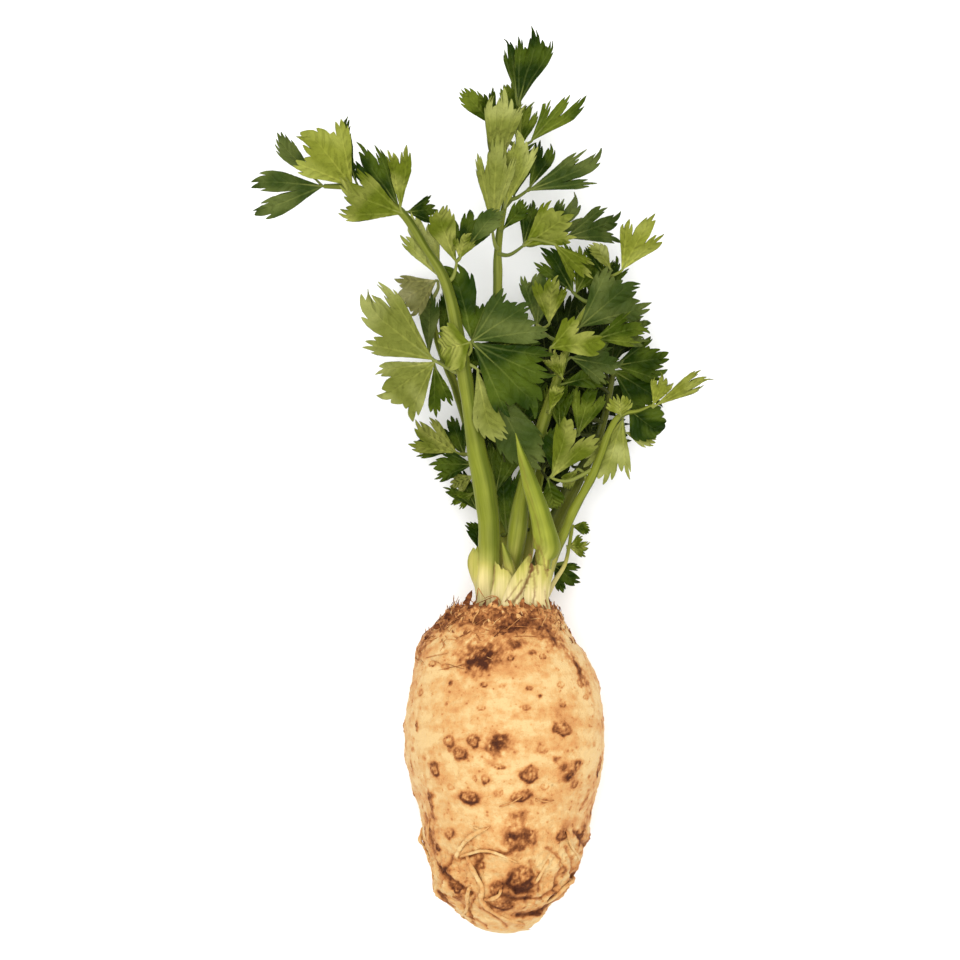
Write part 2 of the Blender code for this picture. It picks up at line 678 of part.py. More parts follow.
def zip_rows(first, second, first_keys, second_keys):
    """Triangles between two rows of point numbers, taken in the order of their keys."""
    faces = []
    i = j = 0
    while i < len(first) - 1 or j < len(second) - 1:
        take_second = i == len(first) - 1 or (
            j < len(second) - 1 and second_keys[j] + second_keys[j + 1] < first_keys[i] + first_keys[i + 1]
        )
        if take_second:
            faces.append((first[i], second[j + 1], second[j]))
            j += 1
        else:
            faces.append((first[i], first[i + 1], second[j]))
            i += 1
    return faces


def strip_rows(leaf, start):
    """Pairs of points along the little stalk: where it starts and, if it is long, where it bends."""
    forward, _, normal = blade_axes(leaf)
    base = np.asarray(leaf.base, float)
    gap = np.linalg.norm(base - start)
    bend = (start + base) / 2 - forward * STRIP_BEND * gap
    target = bend if gap > LONG_STRIP else base
    way = (target - start) / np.linalg.norm(target - start)
    places = [(start - way * ROOTED, way)]
    if gap > LONG_STRIP:
        places.append((bend, way + forward))
    rows = []
    for place, heading in places:
        across = np.cross(heading, normal)
        across *= STRIP_WIDTH / 2 / np.linalg.norm(across)
        rows.append(np.array([place - across, place + across]))
    return rows


def make_leaflet(name, leaf, start, number):
    """A leaflet: its little stalk and its blade in one open sheet of triangles, with Solidify.

    The little stalk is a strip of two points a row, stouter than the blade. The blade is a fan of
    three rows: its foot, a ring across it and its cut edge.
    """
    edge = margin(leaf, number)
    spread = math.radians(leaf.spread)
    foot = spread * np.array([-1.0, 1.0])
    ring = spread * np.linspace(-1, 1, 5 if leaf.length > LONG_BLADE else 3)
    blade = (
        blade_point(leaf, foot, np.full(2, FOOT)),
        blade_point(leaf, ring, np.full(len(ring), BLADE_RING * leaf.length)),
        blade_point(leaf, edge[:, 0], edge[:, 1] * leaf.length),
    )
    strip = strip_rows(leaf, start)
    rows = [*strip, *blade]
    keys = [np.array([-1, 1])] * len(strip) + [foot, ring, edge[:, 0]]
    ends = np.cumsum([len(row) for row in rows])
    numbers = np.split(np.arange(ends[-1]), ends[:-1])
    faces = []
    for k in range(len(rows) - 1):
        faces += zip_rows(numbers[k], numbers[k + 1], keys[k], keys[k + 1])
    mesh = mesh_of(name, np.vstack(rows), [tuple(int(k) for k in f) for f in faces])
    made = bpy.data.objects.new(name, mesh)
    PARTS.objects.link(made)
    stoutness = 0.4 if leaf.along is None else 1.0
    made.vertex_groups.new(name="little_stalk").add(list(range(2 * len(strip))), stoutness, "REPLACE")
    thicken = made.modifiers.new("Thickness", "SOLIDIFY")
    thicken.thickness = 2 * BLADE * MM
    thicken.offset = 0.0
    thicken.vertex_group = "little_stalk"
    thicken.thickness_vertex_group = 0.5
    return made


def keep_whole_bodies(mesh):
    """Fill the small hollows that a union seals, and drop its loose scraps."""
    work = bmesh.new()
    work.from_mesh(mesh)
    bmesh.ops.triangulate(work, faces=work.faces)
    waiting = set(work.faces)
    while waiting:
        body = {waiting.pop()}
        edge_of_body = list(body)
        while edge_of_body:
            near = {n for e in edge_of_body.pop().edges for n in e.link_faces} - body
            body |= near
            edge_of_body.extend(near)
        waiting -= body
        corners = (tuple(v.co for v in face.verts) for face in body)
        volume = sum(a.dot(b.cross(c)) for a, b, c in corners) / 6
        if volume < SCRAP * MM**3:
            bmesh.ops.delete(work, geom=list(body), context="FACES")
    work.to_mesh(mesh)
    work.free()


def fuse(first, others):
    """One body from first and the others, by one Boolean union on a collection."""
    gathered = bpy.data.collections.new("to_fuse")
    bpy.context.scene.collection.children.link(gathered)
    for piece in others:
        PARTS.objects.unlink(piece)
        gathered.objects.link(piece)
    union = first.modifiers.new("Union", "BOOLEAN")
    union.operation = "UNION"
    union.operand_type = "COLLECTION"
    union.collection = gathered
    union.solver = "MANIFOLD"
    bpy.context.view_layer.update()
    joined = bpy.data.meshes.new_from_object(first.evaluated_get(bpy.context.evaluated_depsgraph_get()))
    first.modifiers.clear()
    first.data = joined
    keep_whole_bodies(joined)
    for piece in others:
        bpy.data.objects.remove(piece)
    bpy.data.collections.remove(gathered)


def petiolule_starts(stalk):
    """Where each leaflet's little stalk starts: on the main one, or below its group's first blade."""
    line = smooth_through([row[:3] for row in stalk.path], LINE_SAMPLES)
    starts = []
    for leaf in stalk.leaflets:
        if leaf.along is None:
            starts.append(hub)
        else:
            place = min(int(leaf.along * (LINE_SAMPLES - 1)), LINE_SAMPLES - 2)
            starts.append(line[place])
            hub = np.asarray(leaf.base, float) + FORK * blade_axes(leaf)[0]
    return starts


def stalk_rings(rows, outer):
    """A stalk's rings, with the first one level with the crown that it stands on."""
    rings = tube_rings(rows[:, :3], rows[:, 3], rows[:, 4], outer, STALK_SIDES, OUTER_SHARE)
    rings[0, :, 1] = rows[0, 1]
    return rings


def make_stalk(stalk):
    """A ribbed stalk, and the leaflets that grow from it fused to it."""
    rows = np.array(stalk.path, float)
    rings = stalk_rings(rows, stalk.outer)
    body = loft(stalk.name, rings)
    starts = petiolule_starts(stalk)
    pieces = []
    for k, leaf in enumerate(stalk.leaflets):
        pieces.append(make_leaflet(f"{stalk.name}_leaflet_{k}", leaf, starts[k], k + len(stalk.name)))
    if pieces:
        fuse(body, pieces)
    return body


def finish_part(part, look):
    """One material and smooth shading with sharp edges kept."""
    part.data.materials.clear()
    part.data.materials.append(look)
    part.data.shade_smooth()
    part.data.set_sharp_from_angle(angle=math.radians(SHARP_ANGLE))


for old in list(bpy.data.objects):
    bpy.data.objects.remove(old)
PARTS = bpy.data.collections.new("celeriac")
bpy.context.scene.collection.children.link(PARTS)

root = make_root_body()
fuse(root, make_rootlets() + make_crown_scales())
finish_part(root, material("root_skin", SKIN, 0.75))
leaf_look = material("leafy_stem", GREEN, 0.5)
stalk_look = material("bare_stalk", PALE_GREEN, 0.45)
for one in STALKS:
    finish_part(make_stalk(one), leaf_look if one.leaflets else stalk_look)
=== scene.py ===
"""A celeriac with its leafy stalks, lying on its side, for the photograph's view from above."""

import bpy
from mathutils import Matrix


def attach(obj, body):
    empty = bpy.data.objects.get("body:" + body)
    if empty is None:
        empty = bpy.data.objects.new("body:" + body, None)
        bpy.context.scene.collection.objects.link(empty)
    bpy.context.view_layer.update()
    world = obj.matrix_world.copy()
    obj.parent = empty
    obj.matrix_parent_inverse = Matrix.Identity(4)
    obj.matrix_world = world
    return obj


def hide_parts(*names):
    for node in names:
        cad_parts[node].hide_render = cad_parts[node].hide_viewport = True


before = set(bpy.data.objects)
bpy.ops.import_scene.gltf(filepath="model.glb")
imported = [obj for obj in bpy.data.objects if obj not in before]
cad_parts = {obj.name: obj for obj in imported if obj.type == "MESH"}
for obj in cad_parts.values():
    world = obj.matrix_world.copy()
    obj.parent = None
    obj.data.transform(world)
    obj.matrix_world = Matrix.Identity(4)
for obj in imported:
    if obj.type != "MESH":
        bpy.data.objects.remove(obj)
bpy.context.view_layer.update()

import math
from dataclasses import dataclass, field

import bpy
import numpy as np

# The studio
# A pale matt floor under broad soft lamps, and a camera with a long lens high above the middle
# of the layout, as the photograph looks straight down on the vegetable.

MM = 0.001
# Layouts are in millimetres from the photograph's middle, and the origin is this far from it
MIDDLE = np.array((0.33, -0.13, 0.0))
# The height at which the picture is PHOTO_WIDTH across
LEAF_HEIGHT = 45.0
PHOTO_WIDTH = 432.0
CAMERA_ABOVE = 3500.0
SENSOR = 36.0
# Each lamp's name, place, side and watts
LAMPS = (
    ("key_lamp", (-400, 300, 2600), 1500, 35.0),
    ("fill_lamp", (500, -300, 2600), 2000, 24.0),
)
SKY_LIGHT = 1.08
# How bright a white surface lying on the floor comes out under this light
FLOOR_LIGHT = 1.8


def srgb(red, green, blue):
    """The colour that a surface needs to look so, with 255 for white, when it lies on the floor.

    The sRGB curve makes it linear, and the light on the floor divides it.
    """
    share = np.array((red, green, blue)) / 255
    linear = np.where(share <= 0.04045, share / 12.92, ((share + 0.055) / 1.055) ** 2.4)
    return (*(float(part) for part in linear / FLOOR_LIGHT), 1.0)


def node(tree, kind, inputs=None, **settings):
    """A shader node with its settings. Each input is a value, or another node's output to link."""
    made = tree.nodes.new(kind)
    for key, value in settings.items():
        setattr(made, key, value)
    for socket, value in (inputs or {}).items():
        if isinstance(value, bpy.types.NodeSocket):
            tree.links.new(value, made.inputs[socket])
        else:
            made.inputs[socket].default_value = value
    return made


def new_material(name):
    """A material with only its Principled shader, and its node tree."""
    made = bpy.data.materials.new(name)
    made.use_nodes = True
    return made, made.node_tree, made.node_tree.nodes["Principled BSDF"]


camera = bpy.data.objects.new("camera", bpy.data.cameras.new("camera"))
camera.location = (np.array((0, 0, LEAF_HEIGHT + CAMERA_ABOVE)) - MIDDLE) * MM
camera.data.sensor_width = SENSOR
camera.data.lens = SENSOR * CAMERA_ABOVE / PHOTO_WIDTH
camera.data.clip_end = 20
bpy.context.scene.collection.objects.link(camera)
bpy.context.scene.camera = camera

for name, place, side, watts in LAMPS:
    lamp = bpy.data.objects.new(name, bpy.data.lights.new(name, "AREA"))
    lamp.data.size = side * MM
    lamp.data.energy = watts
    lamp.location = np.array(place) * MM
    lamp.rotation_euler = (-lamp.location).to_track_quat("-Z", "Y").to_euler()
    bpy.context.scene.collection.objects.link(lamp)

world = bpy.data.worlds.new("soft_sky")
world.use_nodes = True
world.node_tree.nodes["Background"].inputs["Color"].default_value = (1.0, 1.0, 1.0, 1.0)
world.node_tree.nodes["Background"].inputs["Strength"].default_value = SKY_LIGHT
bpy.context.scene.world = world
bpy.context.scene.view_settings.view_transform = "Standard"

floor = bpy.data.objects.new("floor", bpy.data.meshes.new("floor"))
floor.data.from_pydata([(-6, -6, 0), (6, -6, 0), (6, 6, 0), (-6, 6, 0)], [], [(0, 1, 2, 3)])
floor_paper, tree, shader = new_material("floor_paper")
shader.inputs["Base Color"].default_value = (0.94, 0.94, 0.94, 1.0)
shader.inputs["Roughness"].default_value = 0.9
shader.inputs["Specular IOR Level"].default_value = 0.1
floor.data.materials.append(floor_paper)
bpy.context.scene.collection.objects.link(floor)

# The root
# A swollen celeriac: firm cream flesh under a thin corky skin, grown in faint rings, with brown
# scars where side roots broke off, a scaly crown and a tail full of folds.

AXIS_X, AXIS_Z, CROWN_Y, TAIL_Y = 11.0, 43.2, -56.4, -204.0
ROOT_PROFILE = (
    (-56.4, 21.5),
    (-58.5, 24.6),
    (-63.0, 27.6),
    (-71.0, 33.0),
    (-80.0, 38.3),
    (-92.0, 41.8),
    (-106.0, 44.3),
    (-122.0, 45.0),
    (-134.0, 43.4),
    (-148.0, 39.6),
    (-162.0, 37.2),
    (-174.0, 32.8),
    (-184.0, 29.8),
    (-190.0, 25.0),
    (-197.0, 18.0),
    (-202.0, 10.5),
    (-204.0, 3.0),
)
# Broad lumps: angle from +X towards +Z in degrees, y, height, angular and long spread
ROOT_LUMPS = (
    (180, -72, 3.4, 34, 9),
    (0, -72, -2.2, 34, 10),
    (178, -186, 2.6, 30, 5),
    (2, -191, -2.8, 34, 6),
    (95, -78, -1.2, 20, 6),
    (70, -158, -1.0, 18, 7),
    (150, -178, 1.6, 18, 6),
    (40, -172, 1.4, 20, 7),
    (250, -100, 1.0, 40, 18),
)
ROOT_COLUMNS = 340
ROOT_ROWS = 262
CROWN_ROWS = 16
TAIL_ROWS = 4
# How much closer together the columns are on top, where most of the skin is seen
TOP_CROWDING = 0.42

# Scars with a raised dark rim, seen from above: x, y, half width, half height, tilt, darkness
RING_SCARS = (
    (-13.7, -116.1, 3.3, 2.7, 5, 0.60),
    (-2.8, -116.1, 2.8, 3.0, 20, 0.85),
    (-8.1, -121.7, 3.4, 3.0, 10, 0.70),
    (36.7, -110.5, 4.9, 3.3, -14, 0.70),
    (-20.1, -128.8, 2.8, 3.1, 30, 0.80),
    (22.3, -130.9, 4.3, 3.3, -6, 0.80),
    (18.6, -140.6, 4.6, 2.5, 16, 0.75),
    (-4.4, -141.4, 4.8, 2.7, -5, 0.90),
    (53.2, -128.6, 2.2, 4.2, 5, 0.90),
    (27.9, -119.7, 2.6, 2.2, 0, 0.35),
    (2.4, -133.0, 1.9, 2.1, 0, 0.60),
    (-1.8, -132.6, 1.3, 1.6, 0, 0.50),
    (7.7, -127.3, 3.1, 1.2, -8, 0.60),
    (42.0, -135.6, 2.0, 2.0, 0, 0.55),
    (36.9, -158.2, 3.5, 2.7, 10, 0.70),
    (1.5, -91.1, 1.7, 1.1, -12, 0.60),
    (9.9, -91.6, 1.6, 1.0, 0, 0.40),
    (0.4, -101.2, 2.2, 1.1, 0, 0.45),
    (20.6, -101.2, 2.0, 1.3, 0, 0.55),
    (22.1, -92.7, 1.6, 1.1, -6, 0.65),
    (35.8, -91.3, 1.7, 1.3, 0, 0.50),
    (36.4, -99.5, 1.6, 1.6, 0, 0.45),
    (44.2, -90.8, 1.8, 1.7, 0, 0.60),
    (46.5, -97.0, 2.0, 1.2, 0, 0.55),
    (-26.3, -95.3, 1.8, 1.3, 20, 0.45),
    (-21.0, -82.2, 2.0, 1.4, 0, 0.75),
    (-15.6, -83.5, 2.4, 1.2, -10, 0.45),
    (13.6, -79.4, 1.5, 1.3, 0, 0.80),
    (27.7, -78.7, 1.4, 1.1, 0, 0.65),
    (-12.8, -136.9, 2.0, 1.4, 0, 0.35),
    (49.8, -118.1, 1.3, 1.6, 0, 0.40),
    (29.2, -136.3, 2.3, 1.5, 0, 0.35),
    (8.6, -139.0, 2.0, 2.0, 0, 0.30),
    (18.0, -177.6, 6.4, 5.0, 18, 0.90),
    (7.4, -182.4, 4.0, 3.0, 30, 0.70),
    (9.0, -189.0, 5.2, 3.8, -12, 0.65),
    (-0.2, -171.8, 2.6, 2.3, 0, 0.60),
    (-10.5, -181.5, 3.4, 3.0, 20, 0.85),
    (-19.2, -164.4, 1.9, 1.5, 0, 0.90),
    (-13.5, -157.5, 3.2, 2.4, 20, 0.40),
)
# Dark corky patches with a ragged edge, in the same way
CORKY_PATCHES = (
    (7.0, -118.6, 5.2, 4.0, 35, 0.75),
    (9.0, -115.2, 3.6, 2.2, 20, 0.95),
    (-1.5, -80.4, 7.4, 4.0, 14, 0.85),
    (2.6, -78.8, 4.9, 3.0, 20, 0.90),
    (-5.5, -82.2, 3.2, 2.0, 5, 0.80),
    (16.6, -72.9, 4.0, 2.5, 8, 0.75),
    (31.3, -71.6, 3.7, 2.9, -12, 0.75),
    (23.4, -76.7, 1.9, 1.3, 0, 0.75),
    (26.4, -96.2, 1.2, 1.2, 0, 0.95),
    (-13.7, -90.8, 1.1, 1.2, 0, 0.80),
    (-15.4, -99.8, 1.2, 1.1, 0, 0.55),
    (42.6, -83.5, 1.9, 4.6, 14, 0.85),
    (38.6, -131.6, 2.8, 3.2, 10, 0.95),
    (42.8, -127.2, 2.6, 2.6, -30, 0.70),
    (37.2, -127.6, 2.2, 1.9, 20, 0.75),
    (33.3, -124.2, 1.4, 1.6, 0, 0.95),
    (-21.6, -144.6, 2.8, 6.6, 4, 0.85),
    (-21.0, -140.6, 3.8, 1.6, 0, 0.70),
    (17.0, -149.6, 4.2, 2.4, 8, 0.55),
    (14.0, -159.4, 4.6, 4.2, 0, 0.55),
    (21.0, -158.8, 4.6, 4.8, 0, 0.65),
    (17.2, -163.6, 3.0, 2.0, 0, 0.50),
    (28.5, -143.1, 1.6, 1.2, 0, 0.80),
    (-28.3, -110.6, 1.1, 3.0, 6, 0.90),
    (-30.5, -120.6, 1.6, 1.5, 0, 0.50),
    (-31.6, -127.0, 0.9, 3.4, 0, 0.75),
    (53.5, -109.2, 0.8, 2.2, 6, 0.85),
    (48.4, -132.6, 1.1, 1.1, 0, 0.75),
    (47.6, -143.4, 2.0, 3.6, -20, 0.65),
    (49.8, -150.4, 1.5, 4.6, -6, 0.65),
    (46.0, -160.5, 2.6, 7.4, -14, 0.80),
    (47.6, -170.5, 1.6, 4.6, -8, 0.85),
    (25.9, -194.2, 4.4, 1.3, -16, 0.75),
    (12.2, -186.2, 2.6, 2.6, 0, 0.75),
    (-9.6, -185.4, 3.6, 3.0, 10, 0.60),
    (18.6, -181.8, 5.4, 1.5, 12, 0.75),
    (-13.6, -175.0, 2.0, 3.4, 30, 0.75),
    (-25.5, -158.0, 1.6, 5.0, 8, 0.60),
    (-18.6, -172.0, 2.0, 4.0, 30, 0.70),
)
# Brown stains that fade out at their edges, in the same way
STAINS = (
    (-14, -62, 12, 7, 40, 0.55),
    (-23, -74, 7, 9, 40, 0.55),
    (10, -61, 26, 5.5, 0, 0.60),
    (27, -66, 9, 4.5, -30, 0.45),
    (38, -76, 4, 9, 22, 0.50),
    (44, -85, 3, 7, 18, 0.42),
    (31, -73, 7, 4, -12, 0.35),
    (17, -73, 6, 3.4, 6, 0.30),
    (-4, -72, 12, 6, 10, 0.36),
    (47, -92, 3.5, 9, 15, 0.28),
    (0.4, -79.6, 9.8, 5.4, 12, 0.60),
    (0.8, -79.8, 7.8, 4.4, 14, 0.60),
    (8, -117.4, 6.4, 5.2, 25, 0.40),
    (40, -130, 4.5, 5.0, 0, 0.30),
    (18, -159, 7.0, 5.6, 0, 0.35),
    (8, -119, 8, 5.5, 20, 0.25),
    (40, -128, 6.5, 6.5, 0, 0.22),
    (17, -156, 8.5, 9, 0, 0.25),
    (-22, -148, 5, 14, 6, 0.28),
    (49, -150, 4.5, 16, -8, 0.30),
    (-10, -176, 10, 12, 20, 0.14),
    (14, -182, 14, 9, 10, 0.10),
    (36, -178, 12, 12, 30, 0.06),
    (3, -164, 12, 4, 0, 0.14),
    (25, -105, 16, 3, 0, 0.10),
    (31, -121, 14, 2.4, 4, 0.12),
)
# Folds and cracks as lines seen from above, with width, depth and darkness
FOLDS = (
    (1.0, 1.3, 0.9, ((-17.6, -173.5), (-13.7, -178), (-9.2, -181.3), (-3.6, -184.7))),
    (0.9, 1.0, 0.8, ((-8, -169), (1, -165.4), (12, -166.6), (16.5, -163))),
    (1.0, 1.3, 0.9, ((14.4, -175.7), (12.2, -180.2), (16.7, -183.6), (23.4, -183.6))),
    (1.0, 1.4, 1.0, ((8.8, -184.7), (15.5, -187), (22.3, -186.4))),
    (1.1, 1.6, 1.0, ((16.7, -194.8), (24.5, -194.2), (30.2, -191.4), (33.5, -187))),
    (1.0, 1.2, 0.8, ((31.3, -188), (38, -183.6), (42.5, -176.8))),
    (0.9, 1.0, 0.6, ((35.8, -173.5), (33.5, -178), (33, -183.6))),
    (0.9, 1.0, 0.7, ((1, -167.8), (-2.4, -173.5), (-0.2, -179))),
    (1.0, 1.1, 0.9, ((42.6, -157.7), (47, -163.3), (46.5, -169), (44.2, -174.6))),
    (0.9, 1.0, 0.8, ((-18.2, -184.7), (-13.7, -190.3), (-12, -193.1))),
    (0.8, 0.8, 0.6, ((-24.5, -150), (-22, -160), (-20.4, -168))),
    (0.7, 0.7, 0.6, ((-2, -186), (-5, -192), (-3, -199))),
    (0.7, 0.7, 0.5, ((22, -170), (27, -176), (26, -184))),
    (0.6, 0.7, 0.6, ((-12, -168), (-15, -175), (-17, -182))),
    (0.6, 0.7, 0.6, ((30, -164), (35, -168), (38, -175))),
    (0.6, 0.8, 0.6, ((2, -192), (8, -196), (12, -200))),
    (0.6, 0.7, 0.6, ((20, -187), (27, -187), (34, -182))),
    (0.6, 0.7, 0.5, ((-8, -190), (-4, -195), (3, -200))),
    (0.6, 0.6, 0.5, ((38, -164), (41, -170), (40, -178))),
    # These two are the shadow under the crown's edge: sunk a little, and painted dark as folds.
    (0.7, 0.6, 0.8, ((9.5, -65.6), (14, -66.2), (20.5, -65.3))),
    (0.7, 0.6, 0.7, ((-9, -65), (-4, -63.4), (1, -64.6))),
)
HIDDEN_SCARS = 34
HIDDEN_SMALL_SCARS = 46
SPECKS = 230
SPECK_SIZE = 0.62
SCAR_RISE = 1.1
# Humps that carry the larger scars: x, y, half width, half height
SCAR_HUMPS = (
    (-14, -117, 3.4, 2.6),
    (-2.5, -116.5, 3.0, 2.8),
    (-9, -122, 3.2, 3.0),
    (7, -117, 5.4, 4.2),
    (35.5, -110.5, 4.8, 3.0),
    (-20.5, -129, 3.0, 3.2),
    (22.5, -131, 4.4, 3.4),
    (39.5, -130, 4.2, 4.6),
    (-4.5, -142, 4.8, 2.8),
    (17.5, -141, 4.8, 2.8),
    (2, -132.5, 2.6, 2.4),
    (-21, -144, 3.0, 6.4),
    (15, -160, 6.4, 6.0),
    (-1, -79.5, 7.6, 4.4),
    (16, -73, 3.8, 3.0),
    (30.5, -71.5, 3.6, 3.0),
    (19, -179, 6.0, 5.2),
    (7, -189, 5.6, 4.4),
    (-11, -178, 5.2, 5.0),
    (36, -157, 4.0, 4.0),
)


@dataclass
class Skin:
    """One closed surface: points in millimetres, faces of four and of three, and per-point values.

    look is the number of its material, and values go into the mesh as attributes by name.
    """

    points: np.ndarray
    quads: np.ndarray
    triangles: np.ndarray
    values: dict = field(default_factory=dict)
    look: int = 0


def outward(skin):
    """Turns the faces over if the volume that they enclose, summed as signed tetrahedra, is negative."""
    fans = np.vstack([skin.triangles, skin.quads[:, :3], skin.quads[:, (0, 2, 3)]])
    a, b, c = (skin.points[fans[:, k]] for k in range(3))
    if np.einsum("ij,ij->", a, np.cross(b, c)) < 0:
        skin.quads = skin.quads[:, ::-1]
        skin.triangles = skin.triangles[:, ::-1]
    return skin


def put_together(name, skins, looks, sharp_degrees=50):
    """One object of all the skins, smooth but for edges sharper than sharp_degrees."""
    starts = np.cumsum([0] + [len(skin.points) for skin in skins[:-1]])
    points = np.vstack([skin.points for skin in skins])
    corners, counts, look_numbers = [], [], []
    for skin, start in zip(skins, starts):
        for faces in (skin.quads, skin.triangles):
            corners.append((faces + start).ravel())
            counts.append(np.full(len(faces), faces.shape[1]))
            look_numbers.append(np.full(len(faces), skin.look))
    counts = np.concatenate(counts)
    mesh = bpy.data.meshes.new(name)
    mesh.vertices.add(len(points))
    mesh.vertices.foreach_set("co", ((points - MIDDLE) * MM).ravel().astype(np.float32))
    mesh.loops.add(int(counts.sum()))
    mesh.loops.foreach_set("vertex_index", np.concatenate(corners).astype(np.int32))
    mesh.polygons.add(len(counts))
    mesh.polygons.foreach_set("loop_start", (np.cumsum(counts) - counts).astype(np.int32))
    mesh.polygons.foreach_set("material_index", np.concatenate(look_numbers).astype(np.int32))
    for key in skins[0].values:
        values = np.concatenate([skin.values[key] for skin in skins]).astype(np.float32)
        kind = {1: "FLOAT", 2: "FLOAT_VECTOR"}[values.ndim]
        entry = {1: "value", 2: "vector"}[values.ndim]
        mesh.attributes.new(key, kind, "POINT").data.foreach_set(entry, values.ravel())
    mesh.update(calc_edges=True)
    mesh.shade_smooth()
    mesh.set_sharp_from_angle(angle=math.radians(sharp_degrees))
    made = bpy.data.objects.new(name, mesh)
    for look in looks:
        mesh.materials.append(look)
    bpy.context.scene.collection.objects.link(made)
    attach(made, "root")
    return made


def grid_quads(rows, columns, closed):
    """Faces of a grid of points counted row by row, joined round each row if closed."""
    i = np.arange(rows - 1)[:, None] * columns
    k = np.arange(columns if closed else columns - 1)[None, :]
    after = (k + 1) % columns
    return np.stack([i + k, i + after, i + columns + after, i + columns + k], axis=-1).reshape(-1, 4)


def pole_triangles(ring, pole):
    """A fan from each side of a ring of point numbers to one pole."""
    return np.stack([ring, np.roll(ring, -1), np.full(len(ring), pole)], axis=1)


def closed_rings(rings, first_pole, last_pole, values=None, look=0):
    """A closed skin through rings of points, with a pole at each end."""
    rows, columns = rings.shape[:2]
    points = np.vstack([rings.reshape(-1, 3), first_pole, last_pole])
    ring = np.arange(columns)
    first_fan = pole_triangles(ring[::-1], rows * columns)
    last_fan = pole_triangles(ring + (rows - 1) * columns, rows * columns + 1)
    quads = grid_quads(rows, columns, True)
    return outward(Skin(points, quads, np.vstack([first_fan, last_fan]), values or {}, look))


def smooth_through(points, count):
    """count points evenly along a Catmull-Rom curve through the given ones."""
    points = np.asarray(points, float)
    ends = np.vstack([2 * points[0] - points[1], points, 2 * points[-1] - points[-2]])
    along = np.linspace(0, len(points) - 1, 24 * len(points))
    step = np.minimum(along.astype(int), len(points) - 2)
    t = (along - step)[:, None]
    p0, p1, p2, p3 = (ends[step + k] for k in range(4))
    curve = 0.5 * (
        2 * p1 + (p2 - p0) * t + (2 * p0 - 5 * p1 + 4 * p2 - p3) * t**2 + (3 * p1 - p0 - 3 * p2 + p3) * t**3
    )
    run = np.concatenate([[0], np.cumsum(np.linalg.norm(np.diff(curve[:, :3], axis=0), axis=1))])
    at = np.linspace(0, run[-1], count)
    return np.stack([np.interp(at, run, curve[:, k]) for k in range(points.shape[1])], axis=1)


def waves(points, size, seed, count=28):
    """Smooth noise about 0 with a spread of 1: plane waves in random directions, summed.

    Each has a wavelength near size, so points far apart are unlike and near ones alike.
    """
    draw = np.random.default_rng(seed)
    ways = draw.normal(size=(count, 3))
    ways *= (2 * np.pi / size / draw.uniform(0.6, 1.5, count) / np.linalg.norm(ways, axis=1))[:, None]
    return np.cos(points @ ways.T + draw.uniform(0, 2 * np.pi, count)).sum(axis=-1) / math.sqrt(count / 2)


def soft_step(low, high, value):
    """0 below low, 1 above high and a smooth cubic between."""
    t = np.clip((value - low) / (high - low), 0, 1)
    return t * t * (3 - 2 * t)


def profile_radius(y):
    """The root's radius before its lumps."""
    line = smooth_through(ROOT_PROFILE, 200)
    return np.interp(-np.asarray(y, float), -line[:, 0], line[:, 1])


def turned_away(angle, centre):
    """Angle from centre, wrapped to half a turn either way."""
    return np.angle(np.exp(1j * (angle - centre)))


def angle_above(x, y):
    """The angle at which a place seen from above lies on the upper skin."""
    return math.acos(np.clip((x - AXIS_X) / float(profile_radius(y)), -0.999, 0.999))


def root_lumps(angle, y):
    """Height of the root's broad lumps and of the fine rings round it."""
    inside = np.clip((CROWN_Y - y) / 14, 0, 1) * np.clip((y - TAIL_Y) / 12, 0, 1)
    height = 0.7 * np.cos(2 * angle + 0.9 + y / 40) + 0.6 * np.cos(3 * angle - y / 22)
    height += 0.4 * np.cos(5 * angle + y / 13) + 0.12 * np.cos(0.75 * y + 1.4 * np.cos(2 * angle))
    height = height * inside
    for degrees, centre, rise, turn_spread, long_spread in ROOT_LUMPS:
        away = turned_away(angle, math.radians(degrees)) / math.radians(turn_spread)
        height = height + rise * np.exp(-(away**2) - ((y - centre) / long_spread) ** 2)
    return height


def scar_humps():
    """The humps seen from above, and as many more round the hidden side, as angle, y and sizes."""
    humps = [(angle_above(x, y), y, wide, tall) for x, y, wide, tall in SCAR_HUMPS]
    draw = np.random.default_rng(7)
    for _ in range(HIDDEN_SCARS):
        angle = math.radians(draw.uniform(178, 362))
        y = draw.uniform(-186, -66)
        size = draw.uniform(2.2, 4.6)
        humps.append((angle, y, size, size * draw.uniform(0.6, 1.1)))
    return humps


def root_points(angle, y, radius):
    """Points at angles round the root's axis."""
    across, up = radius * np.cos(angle), radius * np.sin(angle)
    return np.stack([AXIS_X + across, y + 0 * across, np.maximum(AXIS_Z + up, 0)], axis=-1)


def root_radius(angle, y):
    """The radius with its lumps and scar humps."""
    radius = profile_radius(y)
    rise = root_lumps(angle, y)
    for scar_angle, scar_y, wide, tall in scar_humps():
        across = turned_away(angle, scar_angle) * radius / wide
        rise = rise + SCAR_RISE * np.exp(-(across**2) - ((y - scar_y) / tall) ** 2)
    return np.maximum(radius + rise, 0.5)


def mark_place(angle, y, radius, place, centre, wide, tall, tilt):
    """Distance from a mark's centre, 1 on its tilted ellipse, and how far to its tail side, -1 to 1."""
    across = -turned_away(angle, place) * radius
    along = y - centre
    c, s = math.cos(math.radians(tilt)), math.sin(math.radians(tilt))
    first, second = (across * c + along * s) / wide, (along * c - across * s) / tall
    distance = np.hypot(first, second)
    return distance, -second / np.maximum(distance, 0.2)


